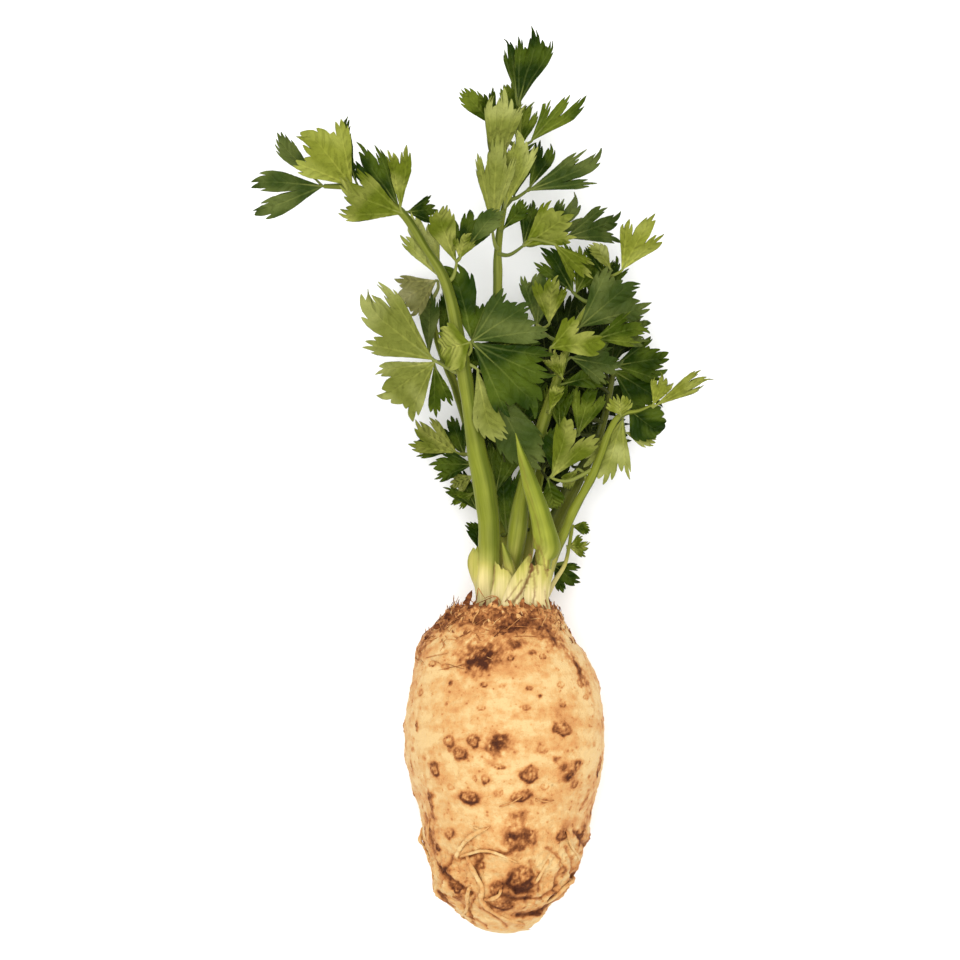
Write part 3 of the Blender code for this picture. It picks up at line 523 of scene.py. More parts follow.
def line_distance(across, along, line):
    """Distance to the nearest of a line's straight pieces."""
    best = np.full(across.shape, 1e9)
    for (x0, y0), (x1, y1) in zip(line[:-1], line[1:]):
        way = np.array((x1 - x0, y1 - y0))
        share = ((across - x0) * way[0] + (along - y0) * way[1]) / (way @ way)
        share = np.clip(share, 0, 1)
        best = np.minimum(best, np.hypot(across - x0 - share * way[0], along - y0 - share * way[1]))
    return best


def hidden_marks():
    """More scars of both kinds for the side that lies down, as angle, y, sizes, tilt and darkness."""
    draw = np.random.default_rng(31)
    marks = []
    for angle, y, wide, tall in scar_humps()[len(SCAR_HUMPS):]:
        marks.append((angle, y, wide * 0.8, tall * 0.8, draw.uniform(-20, 20), draw.uniform(0.5, 0.9)))
    for _ in range(HIDDEN_SMALL_SCARS):
        size = draw.uniform(0.9, 2.2)
        angle = math.radians(draw.uniform(190, 350))
        marks.append((angle, draw.uniform(-196, -64), size, size * 0.8, 0, draw.uniform(0.4, 0.9)))
    return marks


def root_marks(angle, y, radius, points):
    """The small relief in millimetres and the brownness from 0 to 1 of the skin's marks.

    A ring scar is a tan hollow with a low pith, inside a thin rim that is darkest on its tail side,
    where a painted shadow lies. A corky patch is a low rough swelling, brownest inside. A speck is a
    small dot, with painted shadow on its tail side. A stain has no relief, and a fold is a sunk dark
    line with soft brown banks.
    """
    ragged = 0.12 * waves(points, 6.0, 21) + 0.04 * waves(points, 2.4, 22)
    crumbs = waves(points, 1.9, 23)
    blotches = waves(points, 3.6, 24)
    rise = np.zeros(angle.shape)
    pale = np.ones(angle.shape)
    rings = [(angle_above(x, yy), yy, w, h, tilt, dark) for x, yy, w, h, tilt, dark in RING_SCARS]
    for place, centre, wide, tall, tilt, dark in rings + hidden_marks():
        q, tailward = mark_place(angle, y, radius, place, centre, wide, tall, tilt)
        q = q + ragged
        # The rim's extra darkness on its tail side is painted shadow.
        rim = np.exp(-(((q - 0.9) / 0.17) ** 2)) * (0.64 + 0.36 * tailward)
        inside = soft_step(1.1, 0.6, q)
        pith = np.exp(-((q / 0.35) ** 2))
        halo = np.exp(-(((q - 1.0) / 0.55) ** 2)) * (q > 1)
        rise += dark * (0.34 * rim - 0.42 * inside + 0.40 * pith)
        shade = 1.0 * rim + 0.42 * inside * (1 + 0.35 * crumbs) + 0.16 * halo - 0.12 * pith
        pale *= 1 - dark * np.clip(shade, 0, 1)
    for x, centre, wide, tall, tilt, dark in CORKY_PATCHES:
        q, _ = mark_place(angle, y, radius, angle_above(x, centre), centre, wide, tall, tilt)
        q = q + 1.3 * ragged + 0.07 * crumbs
        body = soft_step(1.35, 0.35, q)
        rise += dark * body * (0.18 + 0.26 * crumbs)
        pale *= 1 - dark * body * (0.60 + 0.18 * crumbs + 0.10 * blotches).clip(0, 0.80)
    for place, centre, size, dark in speck_places():
        q, tailward = mark_place(angle, y, radius, place, centre, size, 0.8 * size, 0)
        dot = np.exp(-((q + ragged) ** 2))
        rise -= 0.10 * dot
        # The speck's extra darkness on its tail side is painted shadow.
        pale *= 1 - dark * dot * (0.8 + 0.2 * tailward)
    for x, centre, wide, tall, tilt, dark in STAINS:
        q, _ = mark_place(angle, y, radius, angle_above(x, centre), centre, wide, tall, tilt)
        soft = np.exp(-((q + ragged).clip(0) ** 2))
        pale *= 1 - dark * soft * (0.72 + 0.24 * blotches + 0.20 * crumbs).clip(0, 1)
    top = np.sin(angle) > 0
    for width, depth, dark, line in FOLDS:
        near = line_distance(points[..., 0], y + 0 * angle, line) / width * (1 + 0.25 * blotches)
        groove = np.exp(-(near**2)) * top
        rise += 0.45 * depth * (np.exp(-((near - 2.2) ** 2) / 1.6) * top - 1.7 * groove)
        pale *= 1 - top * dark * (0.58 * groove + 0.15 * np.exp(-((near / 2.4) ** 2)))
    return rise, 1 - pale


def speck_places():
    """Small spots strewn round the whole skin, as angle, y, size and darkness."""
    draw = np.random.default_rng(43)
    angles = draw.uniform(0, 2 * math.pi, SPECKS)
    ys = draw.uniform(-196, -68, SPECKS)
    sizes = SPECK_SIZE * draw.uniform(0.6, 1.5, SPECKS) ** 2
    return np.stack([angles, ys, sizes, draw.uniform(0.15, 0.65, SPECKS)], axis=1)


def make_root():
    """The whole skin: a flat crown, the long turned side and the tail, denser on top."""
    turn = 2 * np.pi * np.arange(ROOT_COLUMNS) / ROOT_COLUMNS
    around = turn + TOP_CROWDING * np.cos(turn)
    side = smooth_through(ROOT_PROFILE, ROOT_ROWS)[:, 0]
    crown_share = np.linspace(0.06, 1, CROWN_ROWS, endpoint=False)
    tail_share = np.linspace(1, 0.1, TAIL_ROWS + 1)[1:]
    share = np.concatenate([crown_share, np.ones(ROOT_ROWS), tail_share])[:, None]
    y = np.concatenate([np.full(CROWN_ROWS, CROWN_Y), side, np.full(TAIL_ROWS, TAIL_Y)])
    y, angle = np.meshgrid(y, around, indexing="ij")
    radius = root_radius(angle, y)
    base = root_points(angle, y, radius * share)
    relief, brown = root_marks(angle, y, radius, base)
    tail = soft_step(-150, -176, y)
    rings = 0.05 * np.cos(1.75 * y + 0.9 * waves(base, 40, 3)) * (1 - tail)
    rough = 0.07 * waves(base, 2.6, 4) + 0.04 * waves(base, 1.3, 5)
    rough = rough * (1 + 2.4 * soft_step(-72, -60, y) + 2.0 * tail)
    wavy = (0.42 * waves(base, 9, 6) + 0.16 * waves(base, 4, 7)) * tail
    edge = np.clip(share, 0, 1) ** 2
    radius = radius + (relief + rings + rough + wavy) * edge
    y = y - 0.5 * (1 - share**2) * (y > -60) + 0.25 * rough * (share < 1)
    points = root_points(angle, y, radius * share)
    # Painted shade: browner where the skin turns away from the top, towards the sides and underneath.
    limb_shade = soft_step(0.5, 0.0, np.sin(angle)) * (0.5 + 0.3 * waves(base, 6, 8) + 0.3 * waves(base, 2.2, 9))
    crust = soft_step(-69, -59, y + 3 * waves(base, 11, 10)) * (0.55 + 0.25 * waves(base, 2.2, 12))
    tail_tan = 0.04 * soft_step(-152, -172, y + 4 * waves(base, 12, 13)) * (0.6 + 0.4 * waves(base, 5, 14))
    for part in (0.07 * limb_shade, 0.50 * crust, tail_tan):
        brown = 1 - (1 - brown) * (1 - part.clip(0, 0.9))
    brown = np.maximum(brown, 0.55 * (share < 0.98) * (y > -60))
    # Painted light: the sides, where the skin turns away from the top, come out paler; the tail is paler too.
    paler = 0.06 * soft_step(0.9, 0.45, np.sin(angle)) + 0.07 * tail
    return points, np.clip(brown, 0, 1) - paler


def noise_amount(tree, size, detail=3.0, squeeze=(1, 1, 1), roughness=0.55):
    """Noise from 0 to 1 with features of size millimetres, squeezed along each axis."""
    place = node(tree, "ShaderNodeTexCoord")
    scaled = node(tree, "ShaderNodeMapping", {"Vector": place.outputs["Object"], "Scale": squeeze})
    made = node(
        tree,
        "ShaderNodeTexNoise",
        {
            "Vector": scaled.outputs["Vector"],
            "Scale": 1 / (size * MM),
            "Detail": detail,
            "Roughness": roughness,
        },
    )
    return made.outputs["Fac"]


def combined(tree, operation, first, second):
    """Two values added, multiplied or otherwise combined."""
    made = tree.nodes.new("ShaderNodeMath")
    made.operation = operation
    for socket, value in zip(made.inputs, (first, second)):
        if isinstance(value, bpy.types.NodeSocket):
            tree.links.new(value, socket)
        else:
            socket.default_value = value
    return made.outputs[0]


def spread_to(tree, value, low, high, new_low=0.0, new_high=1.0):
    """A value from low..high stretched to new_low..new_high and kept inside."""
    made = node(
        tree,
        "ShaderNodeMapRange",
        {"Value": value, "From Min": low, "From Max": high, "To Min": new_low, "To Max": new_high},
    )
    return made.outputs["Result"]


def colours_by(tree, amount, stops):
    """A colour ramp over an amount from 0 to 1."""
    made = node(tree, "ShaderNodeValToRGB", {"Fac": amount})
    elements = made.color_ramp.elements
    while len(elements) < len(stops):
        elements.new(0.5)
    for element, (position, colour) in zip(elements, stops):
        element.position = position
        element.color = colour
    return made.outputs["Color"]


def mixed(tree, amount, first, second, blend="MIX"):
    """Two colours mixed by an amount."""
    made = tree.nodes.new("ShaderNodeMix")
    made.data_type = "RGBA"
    made.blend_type = blend
    for socket, value in ((made.inputs[0], amount), (made.inputs[6], first), (made.inputs[7], second)):
        if isinstance(value, bpy.types.NodeSocket):
            tree.links.new(value, socket)
        else:
            socket.default_value = value
    return made.outputs[2]


def read(tree, name, output="Fac"):
    """A per-point value of the mesh."""
    return node(tree, "ShaderNodeAttribute", attribute_name=name).outputs[output]


def group(name, inputs, outputs):
    """An empty shader node group with float inputs and outputs, and its two ends."""
    made = bpy.data.node_groups.new(name, "ShaderNodeTree")
    for key, value in inputs.items():
        made.interface.new_socket(key, in_out="INPUT", socket_type="NodeSocketFloat").default_value = value
    for key in outputs:
        made.interface.new_socket(key, in_out="OUTPUT", socket_type="NodeSocketFloat")
    return made, made.nodes.new("NodeGroupInput"), made.nodes.new("NodeGroupOutput")


def make_grain_group():
    """Fine plant grain: specks and a rough height from noise, and round dots one to a cell."""
    made, start, end = group("plant_grain", {"Size": 1.0}, ("Height", "Specks", "Dots"))
    place = node(made, "ShaderNodeTexCoord").outputs["Object"]
    scale = combined(made, "DIVIDE", 1 / MM, start.outputs["Size"])
    fine = node(made, "ShaderNodeTexNoise", {"Vector": place, "Scale": scale, "Detail": 4.0})
    cells = node(made, "ShaderNodeTexVoronoi", {"Vector": place, "Scale": scale})
    dips = combined(made, "MULTIPLY", cells.outputs["Distance"], 0.4)
    height = combined(made, "SUBTRACT", fine.outputs["Fac"], dips)
    made.links.new(height, end.inputs["Height"])
    made.links.new(spread_to(made, fine.outputs["Fac"], 0.58, 0.72), end.inputs["Specks"])
    made.links.new(spread_to(made, cells.outputs["Distance"], 0.16, 0.34, 1.0, 0.0), end.inputs["Dots"])
    return made


def grain(tree, size):
    """The shared grain, placed in a material with its own size in millimetres."""
    made = tree.nodes.new("ShaderNodeGroup")
    made.node_tree = plant_grain
    made.inputs["Size"].default_value = size
    return made


def finish_surface(tree, shader, colour, roughness, height, depth):
    """Colour and roughness into the shader, and a bump of that depth in millimetres."""
    tree.links.new(colour, shader.inputs["Base Color"])
    tree.links.new(roughness, shader.inputs["Roughness"])
    bump = node(tree, "ShaderNodeBump", {"Height": height, "Distance": depth * MM, "Strength": 1.0})
    tree.links.new(bump.outputs["Normal"], shader.inputs["Normal"])


def make_root_skin():
    """Cream skin in soft level streaks, browner where the brown value and the noises say so."""
    made, tree, shader = new_material("corky_skin")
    streaks = noise_amount(tree, 7, 3.0, (0.28, 1, 0.28))
    broad = noise_amount(tree, 16, 2.0)
    clouds = noise_amount(tree, 4, 5.0, roughness=0.62)
    fine = grain(tree, 0.8)
    spots = grain(tree, 2.6)
    brown = read(tree, "brown")
    uneven = combined(tree, "SUBTRACT", clouds, 0.5)
    strength = spread_to(tree, brown, 0, 0.5, 0.55, 1.05)
    amount = combined(tree, "ADD", brown, combined(tree, "MULTIPLY", uneven, strength))
    amount = combined(tree, "ADD", amount, spread_to(tree, streaks, 0.35, 0.68, -0.07, 0.15))
    amount = combined(tree, "ADD", amount, spread_to(tree, broad, 0.35, 0.65, 0.02, 0.12))
    dots = combined(tree, "MULTIPLY", spots.outputs["Dots"], spread_to(tree, clouds, 0.5, 0.6, 0.0, 0.22))
    amount = combined(tree, "ADD", amount, dots)
    speckled = combined(tree, "MULTIPLY", fine.outputs["Specks"], spread_to(tree, brown, 0, 0.5, 0.08, 0.22))
    amount = combined(tree, "ADD", amount, speckled)
    colour = colours_by(
        tree,
        amount,
        (
            (0.00, srgb(266, 225, 156)),
            (0.08, srgb(256, 207, 137)),
            (0.14, srgb(254, 197, 124)),
            (0.26, srgb(242, 172, 102)),
            (0.42, srgb(210, 137, 76)),
            (0.60, srgb(164, 99, 52)),
            (0.80, srgb(126, 70, 36)),
            (1.00, srgb(90, 46, 26)),
        ),
    )
    roughness = spread_to(tree, amount, 0, 0.7, 0.55, 0.85)
    height = combined(tree, "ADD", fine.outputs["Height"], combined(tree, "MULTIPLY", clouds, 1.0))
    finish_surface(tree, shader, colour, roughness, height, 0.4)
    shader.inputs["Specular IOR Level"].default_value = 0.15
    return made


plant_grain = make_grain_group()
corky_skin = make_root_skin()
root_rings, root_brown = make_root()
first_pole = (AXIS_X, CROWN_Y - 0.5, AXIS_Z)
last_pole = (AXIS_X, TAIL_Y, AXIS_Z)
root_values = {"brown": np.concatenate([root_brown.ravel(), [0.5, 0.3]])}
root_body = put_together(
    "root_body", [closed_rings(root_rings, first_pole, last_pole, root_values)], [corky_skin], 80
)
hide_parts("root")

# The rootlets
# Thin pale side roots that were left on the tail. Each wanders over the skin, half sunk in it,
# and thins out to its broken end.

# Width at the thick end and at the thin end, brownness, and the way seen from above
ROOTLETS = (
    (2.2, 1.7, 0.05, ((3.5, -155), (-1.5, -157.5), (-6.5, -162), (-9.8, -168.4), (-9.0, -170))),
    (1.7, 0.8, 0.10, ((-9.5, -168.2), (-4, -166.6), (1, -165.2), (6, -165.8), (12.5, -168.6), (17, -171))),
    (2.4, 2.2, 0.08, ((-6, -167.4), (-3.5, -172), (-0.6, -177.6), (1.8, -182.6), (1.4, -188), (4.6, -192.6))),
    (2.3, 1.4, 0.05, ((1.5, -187.6), (4.6, -191.8), (9.4, -195.4), (14.6, -197.8), (20.5, -199.6))),
    (1.9, 1.4, 0.18, ((1.0, -187), (4.8, -187.4), (8.4, -185.4), (9.6, -182.4))),
    (1.6, 1.1, 0.12, ((30.4, -169.5), (27.8, -173.4), (25.6, -177.4), (23.2, -181.2))),
    (1.4, 0.9, 0.05, ((39.0, -156.4), (39.8, -161), (42.4, -166.4), (44.6, -173.4))),
    (2.0, 1.6, 0.05, ((42.6, -178.4), (38.0, -182.8), (33.6, -187.2), (31.0, -189.8))),
    (2.0, 1.2, 0.10, ((-4.0, -181.6), (-5.2, -187.4), (-5.9, -193.4), (-6.8, -197.4))),
    (1.2, 0.7, 0.15, ((-2.6, -154.4), (1.6, -156.2), (4.8, -154.0))),
    (1.0, 0.6, 0.30, ((-22.4, -151), (-23.6, -158.4), (-21.6, -164.8))),
    (1.1, 0.7, 0.25, ((14.4, -188), (20.0, -190.6), (26.0, -190.0))),
    (1.0, 0.6, 0.35, ((24.6, -141.8), (28.6, -143.2), (33.0, -142.6))),
    (0.9, 0.5, 0.30, ((8.4, -145.4), (14.0, -143.6), (19.0, -140.2))),
)
HIDDEN_ROOTLETS = 6
ROOTLET_SIDES = 12
ROOTLET_STEPS = 40


def unit(ways):
    """Each way with a length of 1."""
    return ways / np.linalg.norm(ways, axis=-1, keepdims=True)


def frame_along(path, facing):
    """For each point of a path: the unit way along it, the facing way square to that, and across."""
    along = unit(np.gradient(path, axis=0))
    facing = np.broadcast_to(np.asarray(facing, float), path.shape)
    front = unit(facing - along * np.einsum("ij,ij->i", facing, along)[:, None])
    return along, front, np.cross(along, front)


def tube(path, wide, thick, facing, sides, values=None, look=0):
    """A closed tube of ellipses round a path, thick across its facing way and wide square to it."""
    along, front, across = frame_along(path, facing)
    turn = 2 * np.pi * np.arange(sides) / sides
    rings = path[:, None] + (np.cos(turn)[None, :, None] * across[:, None] * (wide / 2)[:, None, None])
    rings = rings + np.sin(turn)[None, :, None] * front[:, None] * (thick / 2)[:, None, None]
    spread = {}
    for key, value in (values or {}).items():
        spread[key] = np.concatenate([np.repeat(value, sides, axis=0), value[:1], value[-1:]])
    return closed_rings(rings, path[0], path[-1], spread, look)


def rootlet_routes():
    """Every rootlet as widths, brownness, angles and y: the seen ones, then a few underneath."""
    routes = []
    for thick_end, thin_end, brown, places in ROOTLETS:
        routes.append((thick_end, thin_end, brown, [(angle_above(x, y), y) for x, y in places]))
    draw = np.random.default_rng(11)
    for _ in range(HIDDEN_ROOTLETS):
        angle = math.radians(draw.choice([190, 215, 320, 345]) + draw.uniform(-10, 10))
        y = draw.uniform(-165, -150)
        route = [(angle, y)]
        for _ in range(4):
            angle += draw.uniform(-0.16, 0.16)
            y -= draw.uniform(6, 10)
            route.append((angle, y))
        wide = 2 * draw.uniform(0.7, 1.1)
        routes.append((wide, 0.45 * wide, 0.2, route))
    return routes


def make_rootlets():
    """Round tubes a little above the skin, sunk at both ends, with small knots along them."""
    made = []
    for number, (thick_end, thin_end, brown, route) in enumerate(rootlet_routes()):
        line = smooth_through(route, ROOTLET_STEPS)
        share = np.linspace(0, 1, ROOTLET_STEPS)
        wide = np.interp(share, (0, 1), (thick_end, thin_end))
        skin = root_points(line[:, 0], line[:, 1], root_radius(line[:, 0], line[:, 1]))
        wide = wide * (1 + 0.10 * waves(skin, 4, 60 + number)) * (1 - 0.35 * np.abs(2 * share - 1) ** 6)
        away = np.stack([np.cos(line[:, 0]), 0 * share, np.sin(line[:, 0])], axis=1)
        lift = 0.5 * wide + 0.3 - (wide + 0.5) * np.abs(2 * share - 1) ** 10
        path = skin + away * lift[:, None]
        path[:, 2] = np.maximum(path[:, 2], wide / 2)
        shade = 0.5 * brown - 0.08 + 0.05 * np.abs(waves(skin, 3, 90 + number))
        shade = shade + 0.3 * np.abs(2 * share - 1) ** 7
        made.append(tube(path, wide, wide, (0, 0.2, 1), ROOTLET_SIDES, {"brown": shade.clip(-0.1, 0.8)}))
    return made


rootlets = put_together("rootlets", make_rootlets(), [corky_skin], 80)

# The crown's scales and hairs
# What old leaves left round the crown: brown papery points, loose at the tip and still joined at
# the foot, and dry strands of torn fibre lying across the stalks.

SCALE_RINGS = (
    # y of the foot, distance above the skin, how many, length low and high, lean out
    (-57.6, -0.6, 46, 1.8, 4.0, -0.35),
    (-59.5, -0.4, 50, 1.6, 3.6, 0.0),
    (-63.0, -0.5, 40, 1.6, 3.4, 0.02),
    (-68.0, -0.5, 24, 1.4, 2.8, 0.04),
)
# Places seen from above where a scale stands up by itself: foot, tip, width and brownness
LONE_SCALES = (
    ((-6.4, -56.0, 58.5), (-3.6, -49.4, 62.5), 3.4, 0.52),
    ((-10.5, -59.0, 57.0), (-9.6, -54.6, 59.5), 3.0, 0.60),
    ((6.2, -57.0, 64.0), (7.9, -52.6, 65.6), 3.6, 0.50),
    ((18.2, -57.0, 63.8), (19.6, -52.4, 65.0), 2.6, 0.42),
    ((31.0, -57.0, 55.0), (30.6, -52.6, 57.0), 3.2, 0.55),
    ((-14.6, -62.6, 56.0), (-13.8, -59.2, 57.5), 3.6, 0.62),
    ((-19.4, -67.0, 54.0), (-18.8, -64.4, 55.5), 3.6, 0.60),
    ((-24.0, -72.6, 52.0), (-23.6, -69.6, 53.0), 3.4, 0.62),
    ((-27.0, -79.0, 49.0), (-27.4, -76.2, 50.0), 3.0, 0.60),
    ((35.4, -62.6, 50.5), (35.8, -60.2, 51.5), 2.8, 0.60),
    ((39.6, -69.0, 48.5), (40.2, -67.0, 49.5), 2.6, 0.55),
)
# Listed strands: width, brownness, then places seen from above with their height
STRANDS = (
    (
        0.45, 0.50,
        ((-1.9, -55, 62), (-1.2, -51, 63), (-0.8, -48.3, 63.4), (0.6, -50.6, 63.6), (2.6, -53.4, 64)),
    ),
    (
        0.45, 0.50,
        ((-4.5, -57, 61), (-1.5, -55.4, 63), (2.4, -53.8, 64.2), (6.5, -52.2, 64.6), (8.4, -53.6, 65)),
    ),
    (
        0.60, 0.52,
        ((11.2, -54.6, 64), (13.4, -51.4, 62), (16.2, -48, 60), (18.9, -44.7, 59.2), (19.5, -51, 59)),
    ),
    (0.55, 0.50, ((28.8, -52, 57.5), (29.6, -55, 59), (30.4, -57.6, 60))),
    (0.40, 0.45, ((9.5, -56, 65), (8.2, -52.8, 64.6), (5.2, -51.8, 64), (1.5, -53.2, 63.5))),
)
LOOSE_STRANDS = 130
SHOULDER_STRANDS = 28
SCALE_STEPS = 10
SCALE_SIDES = 8
SCALE_THICK = 0.28
STRAND_STEPS = 16
STRAND_SIDES = 6


def scale_skin(foot, tip, out, wide, shade, draw):
    """One flat papery point from its foot to its tip, widest near the foot, bent a little."""
    foot, tip = np.asarray(foot, float), np.asarray(tip, float)
    length = np.linalg.norm(tip - foot)
    bend = (foot + tip) / 2 + out * draw.uniform(-0.02, 0.14) * length
    path = smooth_through((foot, bend, tip), SCALE_STEPS)
    share = np.linspace(0, 1, SCALE_STEPS)
    width = wide * np.interp(share, (0, 0.3, 0.7, 1), (0.85, 1.0, 0.58, 0.06))
    width = width * (1 + 0.16 * waves(path, 1.6, 3))
    brown = shade + 0.25 * draw.uniform(-1, 1) * share + 0.12 * waves(path, 2.0, 4)
    thick = np.full(SCALE_STEPS, SCALE_THICK)
    return tube(path, width, thick, out, SCALE_SIDES, {"brown": brown.clip(0.1, 0.95)})


def make_scales():
    """Rings of points lying against the crown's edge, and the few that stand up by themselves."""
    draw = np.random.default_rng(5)
    made = []
    for foot_y, above, count, short, long, lean in SCALE_RINGS:
        for k in range(count):
            angle = 2 * math.pi * (k + draw.uniform(-0.5, 0.5)) / count
            out = np.array((math.cos(angle), 0, math.sin(angle)))
            around = np.array((-math.sin(angle), 0, math.cos(angle)))
            length = draw.uniform(short, long)
            y = foot_y + draw.uniform(-1.6, 1.0)
            radius = float(root_radius(angle, min(y, CROWN_Y))) + above
            foot = np.array((AXIS_X, y, AXIS_Z)) + out * radius
            lie = np.array((0, 1, 0)) * math.cos(lean) + out * math.sin(lean) * draw.uniform(0.3, 1.2)
            tip = foot + length * (lie + around * draw.uniform(-0.8, 0.8))
            tip[2] = max(tip[2], 0.3)
            made.append(scale_skin(foot, tip, out, draw.uniform(1.2, 3.2), draw.uniform(0.16, 0.60), draw))
    for foot, tip, wide, shade in LONE_SCALES:
        made.append(scale_skin(foot, tip, np.array((0, 0, 1.0)), wide, shade, draw))
    return made


def strand_route(angle, y, draw, lift):
    """Four places along a short arc that lies on the skin near the crown."""
    places = []
    turn, climb = draw.uniform(-0.14, 0.14), draw.uniform(-1.4, 2.6)
    for step in range(4):
        height = lift * (0.15 + math.sin(math.pi * step / 3) * draw.uniform(0.3, 1))
        radius = float(root_radius(angle, max(min(y, -57), -86))) + height
        places.append((AXIS_X + radius * math.cos(angle), y, max(AXIS_Z + radius * math.sin(angle), 0.4)))
        angle += turn + draw.uniform(-0.05, 0.05)
        y += climb + draw.uniform(-0.7, 0.7)
    return places


def make_strands():
    """Thin round strands: a few listed, and loose ones in short arcs over the crown's edge."""
    routes = [(wide, brown, places) for wide, brown, places in STRANDS]
    draw = np.random.default_rng(17)
    for _ in range(LOOSE_STRANDS):
        angle = draw.uniform(0, 2 * math.pi)
        y = draw.uniform(-71, -58)
        places = strand_route(angle, y, draw, draw.uniform(0.1, 0.5))
        routes.append((draw.uniform(0.25, 0.6), draw.uniform(0.05, 0.6), places))
    for _ in range(SHOULDER_STRANDS):
        places = strand_route(draw.uniform(1.7, 3.5), draw.uniform(-82, -60), draw, draw.uniform(0.2, 0.8))
        routes.append((draw.uniform(0.3, 0.7), draw.uniform(0.15, 0.5), places))
    made = []
    for wide, brown, places in routes:
        path = smooth_through(places, STRAND_STEPS)
        share = np.linspace(0, 1, STRAND_STEPS)
        taper = wide * np.interp(share, (0, 0.1, 0.8, 1), (0.5, 1, 0.8, 0.25))
        browns = {"brown": np.full(STRAND_STEPS, brown)}
        made.append(tube(path, taper, taper, (0.1, 0.2, 1), STRAND_SIDES, browns))
    return made


crown_scales = put_together("crown_scales", make_scales() + make_strands(), [corky_skin], 80)

# The left stem
# A celery stalk is a ribbed trough, crescent-shaped in section, cream where it leaves the crown
# and green above. Its leaflets stand in groups of three to six on thin round stalks of their own.

STALK_SIDES = 44
STALK_STEPS = 130
# How much of a stalk's depth stands on its ribbed outer side
OUTER_SHARE = 0.65
RIBS = 9
# How far a stalk's foot reaches past the first point of its path
SUNK = 2.6
LITTLE_STEPS = 26
LITTLE_SIDES = 10
LEAF_THICK = 0.32
BLADE_ROWS = 15
# Evenly spaced columns of a blade, besides those at its teeth and lobes
BLADE_FILL = 46
# Where a blade's first row lies, as a share of the way to its edge
BLADE_START = 0.03
# How far the edge reaches at a blade's two outer sides, 1 at its longest tip
SHOULDER = 0.50
# How much of its opening the fan has at its base
BASE_NARROWING = 0.80
# How much a lobe's reach falls from its middle to its sides, and how much it draws together
LOBE_DROP = 0.30
LOBE_PINCH = 0.14
# How far past its group's first base the other little stalks fork off
FORK = 0.6
# Leaf colours as they look: near the base of the side that is seen, and towards its edge
TINTS = {
    # The deep colour is painted shade: leaflets deep inside the bunch are near-black for the shade they lie
    # in.
    "deep": (srgb(22, 34, 0), srgb(46, 64, 4)),
    "dark": (srgb(38, 62, 0), srgb(88, 107, 24)),
    # The slate colour is partly painted sheen: a grey, paler cast on top sides that face the lamps.
    "slate": (srgb(70, 90, 30), srgb(116, 129, 62)),
    "mid": (srgb(74, 94, 8), srgb(122, 137, 40)),
    "bright": (srgb(118, 131, 30), srgb(180, 184, 88)),
    "pale": (srgb(152, 159, 68), srgb(192, 196, 110)),
    "straw": (srgb(158, 156, 92), srgb(190, 186, 128)),
    "yellow": (srgb(150, 157, 54), srgb(184, 189, 88)),
}
UNDERSIDE = (srgb(138, 148, 56), srgb(158, 166, 74))
TOPSIDE = (srgb(44, 66, 2), srgb(78, 98, 24))
VEIN_PALE = srgb(170, 178, 100)
LEAF_DEEP = srgb(34, 46, 10)
# Lobes of the largest leaflets as the photograph shows them: share of the opening, and reach
UPPER_PALE_LOBES = ((14, 0.94), (26, 1.0), (21, 0.74))
LOWER_PALE_LOBES = ((20, 0.92), (32, 1.0), (24, 0.94))
RIGHT_SLATE_LOBES = ((22, 0.80), (22, 0.90), (24, 1.0))
RIGHT_DARK_LOBES = ((16, 0.84), (14, 0.92), (19, 1.0), (20, 0.84))
MIDDLE_SLATE_LOBES = ((20, 0.92), (20, 1.0), (22, 1.0))
MIDDLE_BRIGHT_LOBES = ((44, 1.0), (40, 0.72))
UPRIGHT_DARK_LOBES = ((32, 1.0), (28, 0.52))
TALL_MID_LOBES = ((30, 0.62), (30, 0.82), (30, 1.0))
LOWER_MID_LOBES = ((24, 1.0), (24, 0.84))
# Stalk colours as they look, by the distance in y
STALK_TINTS = (
    (-60, srgb(268, 246, 184)),
    (-52, srgb(268, 244, 178)),
    (-46, srgb(254, 236, 150)),
    (-40, srgb(230, 217, 114)),
    (-34, srgb(190, 188, 88)),
    (-26, srgb(166, 171, 60)),
    (0, srgb(154, 162, 52)),
    (40, srgb(152, 159, 56)),
    (90, srgb(150, 157, 58)),
    (180, srgb(134, 144, 48)),
)
STALKLET = srgb(146, 154, 74)
TORN_BROWN = srgb(134, 92, 52)


@dataclass
class Leaflet:
    """One blade. base is where it starts, along is how far up the main stalk its own one leaves.

    Without along it shares the little stalk of the last leaflet before it that has one.
    heading is its direction seen from above (0 along +X, 90 along +Y), rise lifts its tip and
    roll turns it about its midrib, with 180 showing the underside. spread is half its opening
    angle. fold raises both halves about the midrib and curl bends the tip down, in degrees.
    plan has each lobe's share of the opening and its reach, where the photograph shows them.
    """

    along: float | None
    base: tuple
    heading: float
    length: float
    spread: float
    rise: float
    roll: float
    tint: str
    lobes: int = 3
    teeth: int = 2
    cut: float = 0.3
    tooth: float = 0.1
    fold: float = 8.0
    curl: float = 12.0
    ripple: float = 0.7
    plan: tuple = ()


@dataclass
class Stalk:
    """A stalk's centreline points with its width and depth at each, and which way its ribs face.

    shade below 1 paints shade on a stalk that lies in the shadow of the others, and above 1 makes a paler
    one.
    """

    name: str
    outer: tuple
    path: tuple
    leaflets: tuple = ()
    shade: float = 1.0


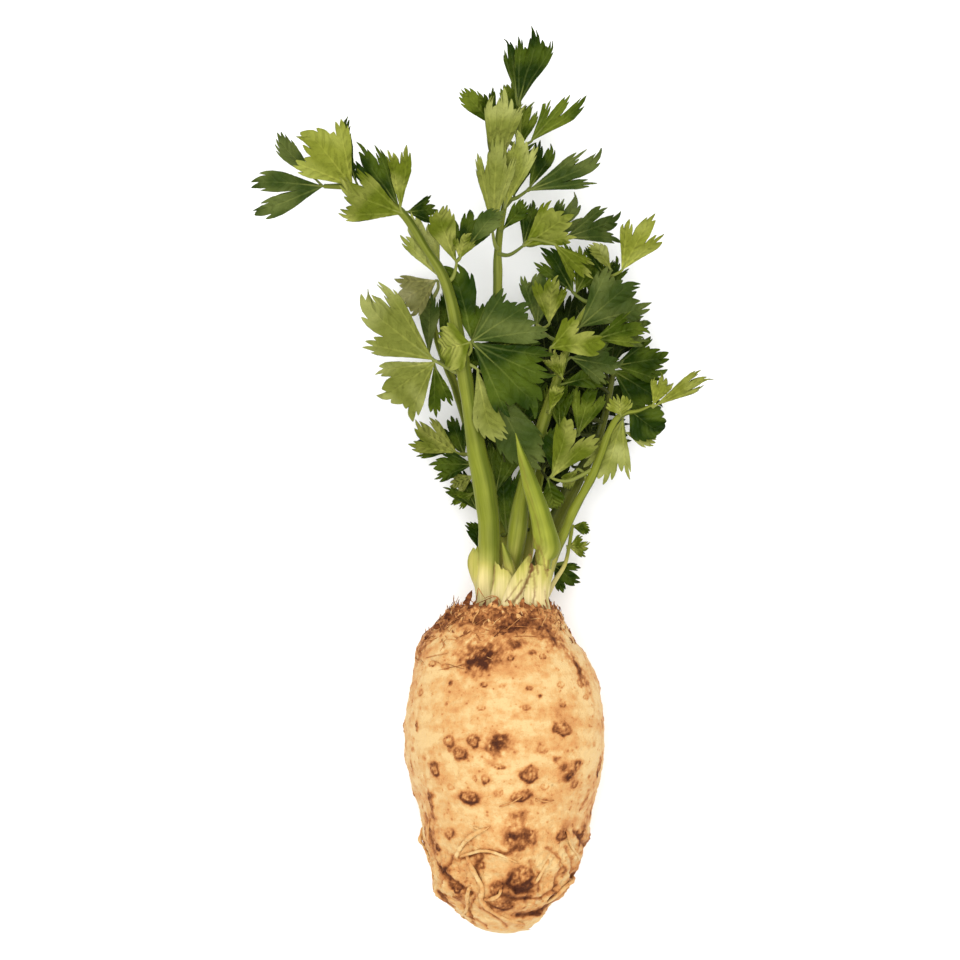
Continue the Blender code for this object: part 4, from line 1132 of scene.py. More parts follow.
def lobe_plan(leaf, number):
    """For each lobe its middle angle, half width, reach, sideways bend and rise, one row each.

    The middle lobe is the widest and longest. Random draws make every blade its own.
    """
    draw = np.random.default_rng(100 + number)
    spread = math.radians(leaf.spread)
    place = (np.arange(leaf.lobes) + 0.5) / leaf.lobes * 2 - 1
    shares = (1.35 - 0.5 * np.abs(place)) * draw.uniform(0.88, 1.12, leaf.lobes)
    if leaf.plan:
        shares = np.array([share for share, _ in leaf.plan], float)
    edges = spread * (2 * np.concatenate([[0], np.cumsum(shares)]) / shares.sum() - 1)
    middle, half = (edges[1:] + edges[:-1]) / 2, np.diff(edges) / 2
    reach = (1 - 0.30 * (middle / spread) ** 2) * draw.uniform(0.93, 1.05, leaf.lobes)
    if leaf.plan:
        reach = np.array([tip for _, tip in leaf.plan])
    bend = draw.uniform(-0.20, 0.20, leaf.lobes)
    rise = draw.uniform(-0.10, 0.08, leaf.lobes)
    return np.stack([middle, half, reach / reach.max(), bend, rise], axis=1)


def margin(leaf, lobes, number):
    """The toothed edge as angles from the midrib and reaches, 1 at the longest tip.

    Each lobe is rounded and has forward teeth, the notch between two near the outer one's tip.
    Between lobes the edge runs in to a narrow cut.
    """
    draw = np.random.default_rng(200 + number)
    spread = math.radians(leaf.spread)
    count = leaf.teeth + (1 if leaf.lobes > 1 else 3)
    knots = [(-spread, SHOULDER * draw.uniform(0.85, 1.1))]
    for k, (middle, half, reach, _, _) in enumerate(lobes):
        if k:
            cut = leaf.cut * draw.uniform(0.75, 1.55)
            knots.append((middle - half, (1 - cut) * min(reach, lobes[k - 1][2])))
        places = np.linspace(-1, 1, count + 2)[1:-1] * 1.06 + draw.uniform(-0.05, 0.05, count)
        heights = reach * (1 - LOBE_DROP * np.abs(places) ** 1.7) * draw.uniform(0.965, 1.02, count)
        for n in range(count):
            if n:
                outer = n if places[n] > 0 else n - 1
                inner = 2 * n - 1 - outer
                share = draw.uniform(0.55, 0.78)
                notch = places[inner] + share * (places[outer] - places[inner])
                depth = leaf.tooth * draw.uniform(0.5, 1.5)
                knots.append((middle + half * notch, min(heights[n], heights[n - 1]) * (1 - depth)))
            knots.append((middle + half * places[n], heights[n]))
    knots.append((spread, SHOULDER * draw.uniform(0.85, 1.1)))
    fine = [knots[0]]
    for low, high in zip(knots[:-1], knots[1:]):
        start, tip = (low, high) if high[1] > low[1] else (high, low)
        long = abs(high[1] - low[1]) > 0.16
        steps = ((0.2, 0.42), (0.45, 0.68), (0.8, 0.92)) if long else ((0.4, 0.55), (0.8, 0.92))
        inner = [(start[0] + f * (tip[0] - start[0]), start[1] + g * (tip[1] - start[1])) for f, g in steps]
        fine += inner if high[1] > low[1] else inner[::-1]
        fine.append(high)
    fine = np.array(fine)
    fill = np.linspace(-spread, spread, BLADE_FILL)
    angles = np.unique(np.concatenate([fine[:, 0], lobes[:, 0], fill]).round(5))
    return angles, np.interp(angles, fine[:, 0], fine[:, 1])


def blade_axes(leaf):
    """The blade's forward, sideways and upward directions."""
    heading, rise, roll = (math.radians(a) for a in (leaf.heading, leaf.rise, leaf.roll))
    flat = math.cos(rise)
    forward = np.array((math.cos(heading) * flat, math.sin(heading) * flat, math.sin(rise)))
    level = np.array((math.sin(heading), -math.cos(heading), 0.0))
    up = np.cross(level, forward)
    side = level * math.cos(roll) + up * math.sin(roll)
    return forward, side, np.cross(side, forward)


def blade_points(leaf, lobes, angle, r, relief):
    """Points of the blade at angles from the midrib and distances from the base.

    Past the cuts each lobe bends sideways, draws together and rises by its own amount. The flat
    fan is folded about its midrib, rippled towards its edge, raised by relief, curled along its
    length, then turned to its heading, rise and roll.
    """
    share = r / leaf.length
    cut_at = 0.9 * (1 - leaf.cut)
    past = (((share - cut_at) / (1.1 - cut_at)).clip(0) + 0.25 * share.clip(0, 1)) ** 2
    own = np.abs(angle[..., None] - lobes[:, 0]).argmin(axis=-1)
    offset = angle - lobes[own, 0]
    bent = np.interp(angle, lobes[:, 0], lobes[:, 3]) * past
    turned = angle - LOBE_PINCH * offset * past + bent
    turned = turned * (BASE_NARROWING + (1 - BASE_NARROWING) * share**0.8)
    across, along = r * np.sin(turned), r * np.cos(turned)
    fold = math.radians(leaf.fold)
    soft = 0.05 * leaf.length
    wing = np.sqrt(across**2 + soft**2) - soft
    lifted = np.interp(angle, lobes[:, 0], lobes[:, 4]) * past * leaf.length
    arched = -0.045 * leaf.length * (offset / lobes[own, 1]) ** 2 * soft_step(0.2, 1.0, share)
    height = wing * math.sin(fold) + leaf.ripple * share**2 * np.sin(4.5 * angle + leaf.heading) + relief
    height = height + lifted + arched
    across = across * math.cos(fold)
    bend = leaf.length / math.radians(leaf.curl)
    along, height = (bend + height) * np.sin(along / bend), (bend + height) * np.cos(along / bend) - bend
    forward, side, normal = blade_axes(leaf)
    shape = (along[..., None] * forward, across[..., None] * side, height[..., None] * normal)
    return np.asarray(leaf.base, float) + sum(shape)


def grid_normals(points):
    """Unit normals of a grid of points, from the steps along its rows and columns."""
    return unit(np.cross(np.gradient(points, axis=1), np.gradient(points, axis=0)) + 1e-12)


def shell(middle, thick):
    """A thin closed shell: the sheet lifted and lowered by half its thickness, joined round its rim."""
    rows, columns = middle.shape[:2]
    normals = grid_normals(middle)
    upper, lower = middle + normals * thick / 2, middle - normals * thick / 2
    points = np.vstack([upper.reshape(-1, 3), lower.reshape(-1, 3)])
    top = grid_quads(rows, columns, False)
    grid = np.arange(rows * columns).reshape(rows, columns)
    rim = np.concatenate([grid[0, :-1], grid[:-1, -1], grid[-1, :0:-1], grid[:0:-1, 0]])
    after = np.roll(rim, -1)
    half = rows * columns
    sides = np.stack([rim, after, after + half, rim + half], axis=1)
    quads = np.vstack([top, top[:, ::-1] + half, sides[:, ::-1]])
    return outward(Skin(points, quads, np.zeros((0, 3), int)))


def make_blade(leaf, number):
    """One blade: its lobed and waved sheet, its veins' place on it, and its colour on both sides."""
    lobes = lobe_plan(leaf, number)
    angle, reach = margin(leaf, lobes, number)
    v = np.linspace(BLADE_START, 1, BLADE_ROWS)[:, None]
    r = v * reach[None, :] * leaf.length
    angle = np.broadcast_to(angle, r.shape)
    share = r / leaf.length
    fan = BASE_NARROWING + (1 - BASE_NARROWING) * share
    from_vein = np.abs(angle[..., None] - lobes[:, 0]).min(axis=-1) * fan * r
    flat = np.stack([r * np.sin(angle), r * np.cos(angle), 0 * r + 9.7 * number], axis=-1)
    size = leaf.length
    wavy = 0.022 * waves(flat, 0.50 * size, 310 + number) + 0.009 * waves(flat, 0.20 * size, 300 + number)
    edge = 0.016 * waves(flat, 0.26 * size, 320 + number) * (share * v) ** 3
    groove = -0.010 * np.exp(-((from_vein / (0.05 * size)) ** 2))
    relief = size * (wavy * soft_step(0.05, 0.6, share) + edge + groove * soft_step(0.0, 0.3, share))
    middle = blade_points(leaf, lobes, angle, r, relief)
    made = shell(middle, LEAF_THICK)
    width = (0.30 + 0.010 * size) * (1.25 - share).clip(0.2)
    branch = (share * size - 1.1 * from_vein) / (0.10 * size + 0.8)
    lay = np.stack([from_vein / width, branch + 7.3 * number, share], axis=-1).reshape(-1, 3)
    top_seen = blade_axes(leaf)[2][2] > 0
    draw = np.random.default_rng(500 + number)
    lift = draw.uniform(0.86, 1.10)
    seen, hidden = TINTS[leaf.tint], (UNDERSIDE if top_seen else TOPSIDE)
    sides = (seen, hidden) if top_seen else (hidden, seen)
    outer_share = (0.16 + 0.40 * v**2 + 0.52 * waves(flat, 0.55 * size, 700 + number)).clip(0, 1)
    tint = []
    for inner, outer in sides:
        blend = np.array(inner)[:3] * (1 - outer_share[..., None])
        blend = blend + np.array(outer)[:3] * outer_share[..., None]
        tint.append(blend * lift)
    under = np.concatenate([np.zeros(r.size), np.ones(r.size)])
    if not first_sheet_is_top(middle, leaf):
        tint, under = tint[::-1], 1 - under
    made.values = {
        "tint": np.vstack([tint[0].reshape(-1, 3), tint[1].reshape(-1, 3)]),
        "lay": np.vstack([lay, lay]),
        "under": under,
        "torn": 0 * under,
    }
    return made


def first_sheet_is_top(middle, leaf):
    """Whether the shell's first sheet lies on the leaf's own upper side."""
    return float(np.mean(grid_normals(middle) @ blade_axes(leaf)[2])) > 0


def stalk_tint(y):
    """The stalk's colour by height above the crown."""
    stops = np.array([stop for stop, _ in STALK_TINTS], float)
    colours = np.array([colour[:3] for _, colour in STALK_TINTS])
    return np.stack([np.interp(y, stops, colours[:, k]) for k in range(3)], axis=-1)


def make_stalk_body(rows, outer, seed, light):
    """The ribbed trough: rings of a crescent whose outer side is ribbed and inner side hollow.

    Half an ellipse of OUTER_SHARE of the depth stands on the outer side, raised by a cosine rib
    pattern, and the inner half dips towards the middle. The first ring is level with the crown.
    """
    rows = np.asarray(rows, float)
    line = smooth_through(rows, STALK_STEPS)
    path, wide, deep = line[:, :3], line[:, 3], line[:, 4]
    along, front, across = frame_along(path, outer)
    turn = 2 * np.pi * np.arange(STALK_SIDES) / STALK_SIDES
    side, up = np.cos(turn), np.sin(turn)
    bare = soft_step(1.6, 5.0, wide)[:, None]
    rib = np.cos(RIBS * np.pi * side)[None, :] * (up > 0)
    height = np.where(up > 0, OUTER_SHARE * up, (1 - OUTER_SHARE) * up)[None, :]
    hollow = 0.75 * (1 - OUTER_SHARE) * np.exp(-((side / 0.62) ** 2))[None, :] * (up < 0) * -up[None, :]
    section = height + bare * (0.013 * rib + hollow)
    rings = path[:, None] + side[None, :, None] * across[:, None] * (wide / 2)[:, None, None]
    rings = rings + section[..., None] * front[:, None] * deep[:, None, None]
    base = rings[0].copy()
    base[:, 1] = path[0, 1] - SUNK
    level = soft_step(3.0, 0.0, np.linalg.norm(path - path[0], axis=1))[:, None]
    rings[:, :, 1] = rings[:, :, 1] * (1 - level) + path[:, 1:2] * level
    rings = np.concatenate([base[None], rings])
    outwards = unit(rings - np.concatenate([path[:1], path])[:, None])
    rings = rings + 0.10 * waves(rings, 16, seed)[..., None] * outwards
    tint = stalk_tint(rings[..., 1] + 3.0 * waves(rings * (1, 0.3, 1), 8, seed + 1))
    strings = 0.05 * np.cos(RIBS * np.pi * side)[None, :] * (up > 0)
    # Painted shade: from y -50 up the right side of the stalk is darkened and made greener, as if lit from
    # the left, a little less at its outermost edge; both edges are also a little darker.
    right_side_shade = soft_step(0.18, 0.5, side) - 0.35 * soft_step(0.75, 1.0, side)
    flank_shade = (right_side_shade[None, :] * soft_step(-50, -34, rings[..., 1]))[..., None] * (0.50, 0.44, 0.66)
    shade = 1 + strings - 0.08 * np.abs(side[None, :]) ** 3 + 0.05 * waves(rings, 12, seed + 2)
    tint = tint * shade[..., None] * (1 - flank_shade) * light
    run = np.concatenate([[-SUNK], np.cumsum(np.linalg.norm(np.gradient(path, axis=0), axis=1))])
    wide = np.concatenate([wide[:1], wide])
    zero = 0 * rings[..., 0]
    lay = np.stack([side * wide[:, None] / 2, zero + run[:, None], zero + seed], axis=-1)
    torn = stalk_browning(rings, seed).ravel()
    values = {"tint": tint.reshape(-1, 3), "lay": lay.reshape(-1, 3), "under": 0 * torn, "torn": torn}
    values = {key: np.concatenate([value, value[:1], value[-1:]]) for key, value in values.items()}
    return closed_rings(rings, rings[0].mean(axis=0), rings[-1].mean(axis=0), values, look=1)


# Brown tears and creases of the stalk bases, as lines seen from above with width and darkness
CREASES = (
    (0.6, 0.6, ((24.4, -33), (25.2, -38), (26.0, -42))),
    (0.6, 0.5, ((26.6, -30), (28.4, -35), (29.6, -41.5))),
    (0.7, 0.24, ((17.8, 10.6), (20.0, 2.5), (22.3, -6.5), (25.0, -16.4), (26.8, -23.6), (28.1, -30.8))),
    (0.6, 0.45, ((21.8, -17.3), (23.6, -25.4), (25.9, -30.8), (26.6, -36))),
    (0.5, 0.5, ((30.6, -36), (30.4, -40), (30.0, -43))),
    (1.3, 0.95, ((23.6, -32.5), (23.3, -36), (23.0, -41))),
    (0.9, 0.75, ((23.0, -41), (21.0, -45.5), (18.5, -50), (15.0, -54.4))),
    (0.7, 0.45, ((23.4, -38), (24.2, -43), (24.6, -50))),
    (0.6, 0.6, ((24.6, -49), (24.0, -53.5), (23.2, -58))),
    # This line darkens the slit between the left stalk and the sheath beside it: a thin brown crease, and
    # painted shade of the slit.
    (0.4, 0.6, ((6.6, -38.5), (6.3, -44), (5.4, -49.4))),
    (0.5, 0.5, ((12.0, -54), (15.4, -49), (18.9, -44.6))),
    (0.3, 0.25, ((-0.6, -31), (-0.9, -36), (-0.8, -38))),
    (0.5, 0.4, ((28.8, -50), (29.6, -54), (30.2, -57))),
)


def stalk_browning(rings, seed):
    """Brownness of the stalks' upper sides near the creases, ragged by a fine noise."""
    ragged = 1 + 0.35 * waves(rings, 2.0, seed + 3)
    brown = np.zeros(rings.shape[:2])
    for width, dark, line in CREASES:
        near = line_distance(rings[..., 0], rings[..., 1], line) / (width * ragged.clip(0.4, 2))
        brown = np.maximum(brown, dark * np.exp(-(near**2)) * (rings[..., 2] > 44))
    foot = 0.55 * np.exp(-((rings[..., 1] + 59) / 2.2) ** 2)
    return np.clip(brown + foot * ragged, 0, 1)


def little_stalk(leaf, start, number):
    """A round stalk from the main one or its fork to the blade, running on as the midrib."""
    forward = blade_axes(leaf)[0]
    base = np.asarray(leaf.base, float)
    gap = np.linalg.norm(base - start)
    lobes = lobe_plan(leaf, number)
    midrib = np.full(2, lobes[leaf.lobes // 2, 0])
    rib = blade_points(leaf, lobes, midrib, np.array((0.08, 0.30)) * leaf.length, 0)
    if gap > 8:
        bend = (start + base) / 2 - forward * 0.2 * gap
        places = (start, bend, base, *rib)
    elif gap > 1.5:
        places = (start, base, *rib)
    else:
        places = (base - 1.0 * forward, base, *rib)
    path = smooth_through(places, LITTLE_STEPS)
    at_base = np.argmin(np.linalg.norm(path - base, axis=1)) / (LITTLE_STEPS - 1)
    share = np.linspace(0, 1, LITTLE_STEPS)
    wide = np.interp(share, (0, at_base, 1), (2.1 if leaf.along else 1.4, 1.2, 0.3))
    tint = np.array(STALKLET[:3]) * (0.5 + 0.5 * np.linspace(1.05, 0.95, LITTLE_STEPS)[:, None])
    # The little stalks of deep leaflets are darkened as well: painted shade.
    tint = (tint * 0.6 + 0.4 * np.array(TINTS[leaf.tint][1][:3])) * (0.45 if leaf.tint == "deep" else 1)
    zero = np.zeros(LITTLE_STEPS)
    lay = np.stack([zero, np.linspace(0, gap, LITTLE_STEPS), zero], axis=1)
    values = {"tint": tint, "lay": lay, "under": zero, "torn": zero}
    return tube(path, wide, 0.85 * wide, (0, 0, 1), LITTLE_SIDES, values, look=1)


def little_stalk_starts(stalk):
    """Where each little stalk starts: on the main one, or below its group's first blade."""
    line = smooth_through([row[:3] for row in stalk.path], 200)
    starts = []
    for leaf in stalk.leaflets:
        if leaf.along is None:
            starts.append(hub)
        else:
            starts.append(line[min(int(leaf.along * 199), 198)])
            hub = np.asarray(leaf.base, float) + FORK * blade_axes(leaf)[0]
    return starts


def make_stem(stalk):
    """The stalk, its little stalks and its blades as one piece that stands for the CAD node."""
    skins = [make_stalk_body(stalk.path, stalk.outer, 40 + len(stalk.leaflets), stalk.shade)]
    for k, (leaf, start) in enumerate(zip(stalk.leaflets, little_stalk_starts(stalk))):
        number = k + len(stalk.name)
        skins += [little_stalk(leaf, start, number), make_blade(leaf, number)]
    made = put_together(stalk.name + "_piece", skins, [leaf_green, stalk_green])
    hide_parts(stalk.name)


def make_leaf_green():
    """Leaf green from the tint, with pale main veins and faint side ones, duller underneath.

    The lay's first part is the distance from the lobe's own vein in vein widths, the second
    counts its side veins, and the third is the distance from the blade's base.
    """
    made, tree, shader = new_material("leaf_green")
    lay = node(tree, "ShaderNodeSeparateXYZ", {"Vector": read(tree, "lay", "Vector")})
    under = read(tree, "under")
    clouds = noise_amount(tree, 6, 3.0)
    main = spread_to(tree, lay.outputs["X"], 0.2, 1.0, 1.0, 0.0)
    main = combined(tree, "MULTIPLY", main, spread_to(tree, lay.outputs["Z"], 0.2, 0.85, 1.0, 0.15))
    wander = combined(tree, "ADD", lay.outputs["Y"], combined(tree, "MULTIPLY", clouds, 1.1))
    pleats = combined(tree, "PINGPONG", wander, 0.5)
    side = spread_to(tree, pleats, 0.0, 0.13, 1.0, 0.0)
    side = combined(tree, "MULTIPLY", side, spread_to(tree, lay.outputs["X"], 0.5, 9.0, 0.8, 0.1))
    net = grain(tree, 1.1)
    tint = read(tree, "tint", "Color")
    deeper = mixed(tree, 1.0, tint, (0.62, 0.66, 0.5, 1.0), "MULTIPLY")
    shaded = mixed(tree, spread_to(tree, clouds, 0.36, 0.66, 0.0, 0.55), tint, deeper)
    paled = mixed(tree, 0.26, mixed(tree, 1.0, tint, (1.6, 1.5, 1.3, 1.0), "MULTIPLY"), VEIN_PALE)
    veined = mixed(tree, combined(tree, "MULTIPLY", side, 0.22), shaded, paled)
    veined = mixed(tree, combined(tree, "MULTIPLY", main, 0.6), veined, paled)
    fine = mixed(tree, combined(tree, "MULTIPLY", net.outputs["Specks"], 0.16), veined, LEAF_DEEP)
    roughness = spread_to(tree, under, 0, 1, 0.45, 0.65)
    veins = combined(tree, "MAXIMUM", main, combined(tree, "MULTIPLY", side, 0.6))
    sunk = combined(tree, "MULTIPLY", veins, spread_to(tree, under, 0, 1, -0.9, 1.0))
    height = combined(tree, "ADD", sunk, combined(tree, "MULTIPLY", net.outputs["Height"], 0.6))
    height = combined(tree, "ADD", height, combined(tree, "MULTIPLY", clouds, 1.2))
    raised = combined(tree, "MULTIPLY", pleats, spread_to(tree, under, 0, 1, 3.4, -3.4))
    height = combined(tree, "ADD", height, raised)
    finish_surface(tree, shader, fine, roughness, height, 0.28)
    shader.inputs["Specular IOR Level"].default_value = 0.05
    return made


def make_stalk_green():
    """Stalk colour from the tint, with fine strings along it, brown where it is torn."""
    made, tree, shader = new_material("stalk_green")
    lay = node(tree, "ShaderNodeSeparateXYZ", {"Vector": read(tree, "lay", "Vector")})
    slow = combined(tree, "MULTIPLY", lay.outputs["Y"], 0.04)
    line = node(tree, "ShaderNodeCombineXYZ", {"X": lay.outputs["X"], "Y": slow, "Z": lay.outputs["Z"]})
    place = line.outputs["Vector"]
    strings = node(tree, "ShaderNodeTexNoise", {"Vector": place, "Scale": 1.1, "Detail": 3.0})
    fine = grain(tree, 0.7)
    clouds = noise_amount(tree, 9, 2.0)
    tint = read(tree, "tint", "Color")
    dark = mixed(tree, 1.0, tint, (0.74, 0.77, 0.60, 1.0), "MULTIPLY")
    striped = mixed(tree, spread_to(tree, strings.outputs["Fac"], 0.34, 0.62), dark, tint)
    striped = mixed(tree, spread_to(tree, clouds, 0.35, 0.65, 0.0, 0.4), striped, dark)
    torn = combined(tree, "ADD", read(tree, "torn"), combined(tree, "MULTIPLY", fine.outputs["Specks"], 0.08))
    browned = mixed(tree, spread_to(tree, torn, 0.06, 0.85), striped, TORN_BROWN)
    rough = combined(tree, "MULTIPLY", fine.outputs["Height"], 0.25)
    height = combined(tree, "ADD", strings.outputs["Fac"], rough)
    finish_surface(tree, shader, browned, spread_to(tree, torn, 0, 0.6, 0.42, 0.75), height, 0.3)
    shader.inputs["Specular IOR Level"].default_value = 0.10
    return made


leaf_green = make_leaf_green()
stalk_green = make_stalk_green()

make_stem(
    Stalk(
        "stem_left",
        (-0.1, 0, 1),
        (
            (4.4, -56.1, 52.5, 11.6, 8.0),
            (3.9, -46, 53.2, 11.2, 7.5),
            (4.0, -36, 53.8, 10.2, 7.5),
            (4.1, -28, 54.2, 9.8, 7.5),
            (3.9, -18, 54.8, 10.1, 7.3),
            (2.7, -8, 55.8, 10.1, 7.2),
            (1.1, 2, 57, 9.9, 6.8),
            (-1.2, 12, 58.2, 8.7, 6.4),
            (-4.2, 29, 60.2, 7.2, 5.6),
            (-7.2, 48, 62.4, 7.0, 5.0),
            (-12, 76, 64.5, 5.3, 4.4),
            (-16.5, 91, 65, 4.8, 4.0),
            (-24.5, 104, 64, 3.8, 3.2),
            (-33.5, 118, 62, 3.8, 2.8),
            (-43, 126, 60, 2.6, 2.4),
            (-56, 131, 58, 2.8, 2.2),
            (-70, 131.8, 56, 2.2, 1.8),
        ),
        (
            Leaflet(1.00, (-70, 131.8, 56), 187.5, 36, 31, -4, 8, "slate", lobes=2, teeth=3, cut=0.58),
            Leaflet(None, (-72, 133.2, 55), 135, 30, 14, 2, 0, "slate", lobes=1, teeth=4),
            Leaflet(0.93, (-57, 131.4, 59), 130, 37.5, 42, 12, 176, "yellow", teeth=3, cut=0.2),
            Leaflet(None, (-55, 132, 57), 109, 31, 13, 4, 30, "dark", lobes=1, teeth=4),
            Leaflet(0.81, (-34, 119, 63), 160, 34, 33, 6, 172, "bright", teeth=3, cut=0.2),
            Leaflet(None, (-35.5, 121, 63), 92, 30, 17, 10, 165, "bright", lobes=2),
            Leaflet(None, (-36, 121.5, 61), 125, 36, 24, 4, 20, "dark"),
            Leaflet(None, (-33, 120, 61), 5, 15, 38, 4, 10, "dark"),
            Leaflet(0.66, (-17.5, 90, 60), 117, 33, 27, -4, 170, "pale", cut=0.15),
            Leaflet(0.66, (-10.5, 97, 65), 113, 28, 23, 10, 160, "bright", lobes=1, teeth=4),
            Leaflet(None, (-9.2, 98.8, 66.6), 75, 14, 40, 12, 175, "bright"),
            Leaflet(None, (-9, 99, 63), 78, 23, 44, 2, 5, "dark", cut=0.4),
            Leaflet(None, (-5, 105, 65), 52, 22, 25, 8, 15, "slate", lobes=1, teeth=4),
            Leaflet(
                0.47, (-20.5, 53.6, 63), 146.5, 46.5, 32, 6, 176, "pale",
                teeth=3, cut=0.26, plan=UPPER_PALE_LOBES,
            ),
            Leaflet(None, (-20, 53, 63), 217, 30.5, 41, 0, 182, "pale", cut=0.18, plan=LOWER_PALE_LOBES),
            Leaflet(
                None, (-20.6, 52.2, 61), 281, 24.5, 22, -6, 176, "mid",
                lobes=2, cut=0.15, plan=LOWER_MID_LOBES,
            ),
            Leaflet(
                0.50, (-4.4, 61.4, 67.8), 194, 18, 68, 8, 182, "bright",
                lobes=1, teeth=6, tooth=0.08, curl=44,
            ),
            Leaflet(
                0.50, (-3.6, 62, 66), 33, 35.5, 39, 8, 5, "slate",
                teeth=3, cut=0.12, plan=RIGHT_SLATE_LOBES,
            ),
            Leaflet(
                None, (-3.6, 61.6, 66), -38.5, 45, 39, 3, -6, "dark",
                lobes=4, cut=0.15, plan=RIGHT_DARK_LOBES,
            ),
            Leaflet(
                None, (-3.6, 62.0, 63), 87, 37, 38, 2, 8, "dark",
                lobes=2, teeth=4, cut=0.1, plan=UPRIGHT_DARK_LOBES,
            ),
            Leaflet(
                0.50, (-1.4, 49.8, 64.5), -79, 35.5, 18, -2, 178, "pale",
                lobes=1, teeth=4, tooth=0.06, ripple=0.2,
            ),
            Leaflet(None, (3, 47, 61), -64, 50, 20, -6, 0, "slate", lobes=1, teeth=6, tooth=0.07),
            Leaflet(0.49, (-2, 61, 59), -2, 32, 13, -3, 0, "dark", lobes=1, teeth=4),
            Leaflet(0.50, (-4, 60.5, 60), -80, 11, 34, 0, 0, "dark", lobes=1, teeth=3),
        ),
    )
)

# The tall stem
# The longest leaf, whose thin stalk stands behind the left one. Its long pale undersides show
# where the leaflets have turned over.

make_stem(
    Stalk(
        "stem_tall",
        (0, 0, -1),
        (
            (9.5, -56.1, 34, 11, 7.0),
            (10, -40, 34.5, 9.5, 6.5),
            (10, -15, 36.5, 8, 6.0),
            (9, 20, 38.5, 6.5, 5.4),
            (8, 60, 40.5, 5, 4.6),
            (8, 92, 42, 4, 4.0),
            (8, 102, 43, 3.8, 3.6),
            (9.5, 116, 45, 3, 3.0),
            (13, 132, 46, 2.6, 2.6),
            (17, 150, 45, 2.2, 2.2),
            (18, 172, 41, 1.6, 1.6),
        ),
        (
            Leaflet(0.70, (5.6, 112, 52), 88, 44, 20, 8, 172, "pale", teeth=4, cut=0.12, tooth=0.08),
            Leaflet(None, (6.5, 134, 50), 84, 44, 18, 6, 168, "pale", teeth=3, cut=0.15),
            Leaflet(0.80, (11, 122, 49), 77, 38, 22, 6, 172, "pale", teeth=3, cut=0.12),
            Leaflet(1.00, (16.4, 172, 42), 94, 28.5, 15, 0, -10, "dark"),
            Leaflet(None, (17.2, 168.5, 43), 75.5, 37, 22, 6, 15, "dark", teeth=3, cut=0.12),
            Leaflet(0.95, (15, 162, 40), 98, 18, 24, -10, 0, "mid", lobes=1, teeth=4),
            Leaflet(0.90, (7, 158.5, 46), 131, 24, 19, 6, 185, "mid", lobes=1, teeth=4),
            Leaflet(None, (7, 159, 47), 108, 18, 22, 10, 150, "mid", lobes=2),
            Leaflet(0.90, (22.5, 152, 44), 49.5, 34, 25, 4, 10, "mid", cut=0.4, plan=TALL_MID_LOBES),
            Leaflet(0.80, (22, 131, 42), 66, 24, 22, -4, -5, "dark", lobes=2),
            Leaflet(None, (21, 130, 43), 21.5, 41, 21, 3, 8, "slate", cut=0.35),
            Leaflet(0.69, (19.5, 105.5, 44), 76, 22, 24, -4, 0, "dark"),
            Leaflet(None, (20, 105.3, 47), 35, 28, 38, 8, 176, "bright", cut=0.15),
            Leaflet(None, (30, 108, 43), 49, 26, 32, 0, -5, "slate", cut=0.35),
            Leaflet(None, (38, 108.8, 43), 21, 28, 29, 3, 0, "slate"),
            Leaflet(None, (33, 106, 54), -42, 24, 24, 0, 170, "bright"),
            Leaflet(0.74, (10, 112.5, 45), 48, 18, 22, 0, 0, "dark", lobes=1, teeth=4),
            Leaflet(0.78, (15, 127, 42), 78, 27, 24, 0, 0, "dark"),
            Leaflet(0.88, (17, 148, 42), 78, 24, 24, 0, 0, "mid"),
            Leaflet(0.14, (12, -24, 43), 95, 34, 26, 2, 0, "dark", teeth=3),
            Leaflet(0.22, (7, -6, 45), 78, 28, 30, 2, 0, "dark", teeth=3),
            Leaflet(0.30, (11, 8, 44), 96, 30, 34, 2, 0, "deep", teeth=3),
            Leaflet(0.38, (15, 22, 45), 60, 28, 36, 0, 0, "dark", teeth=3),
            Leaflet(0.44, (4, 30, 44), 104, 26, 26, 0, 0, "deep"),
        ),
    )
)

# The middle stem
# A leaf of the heart, wide and dense. Its groups of leaflets fill the right of the bunch, some
# turned pale side up.

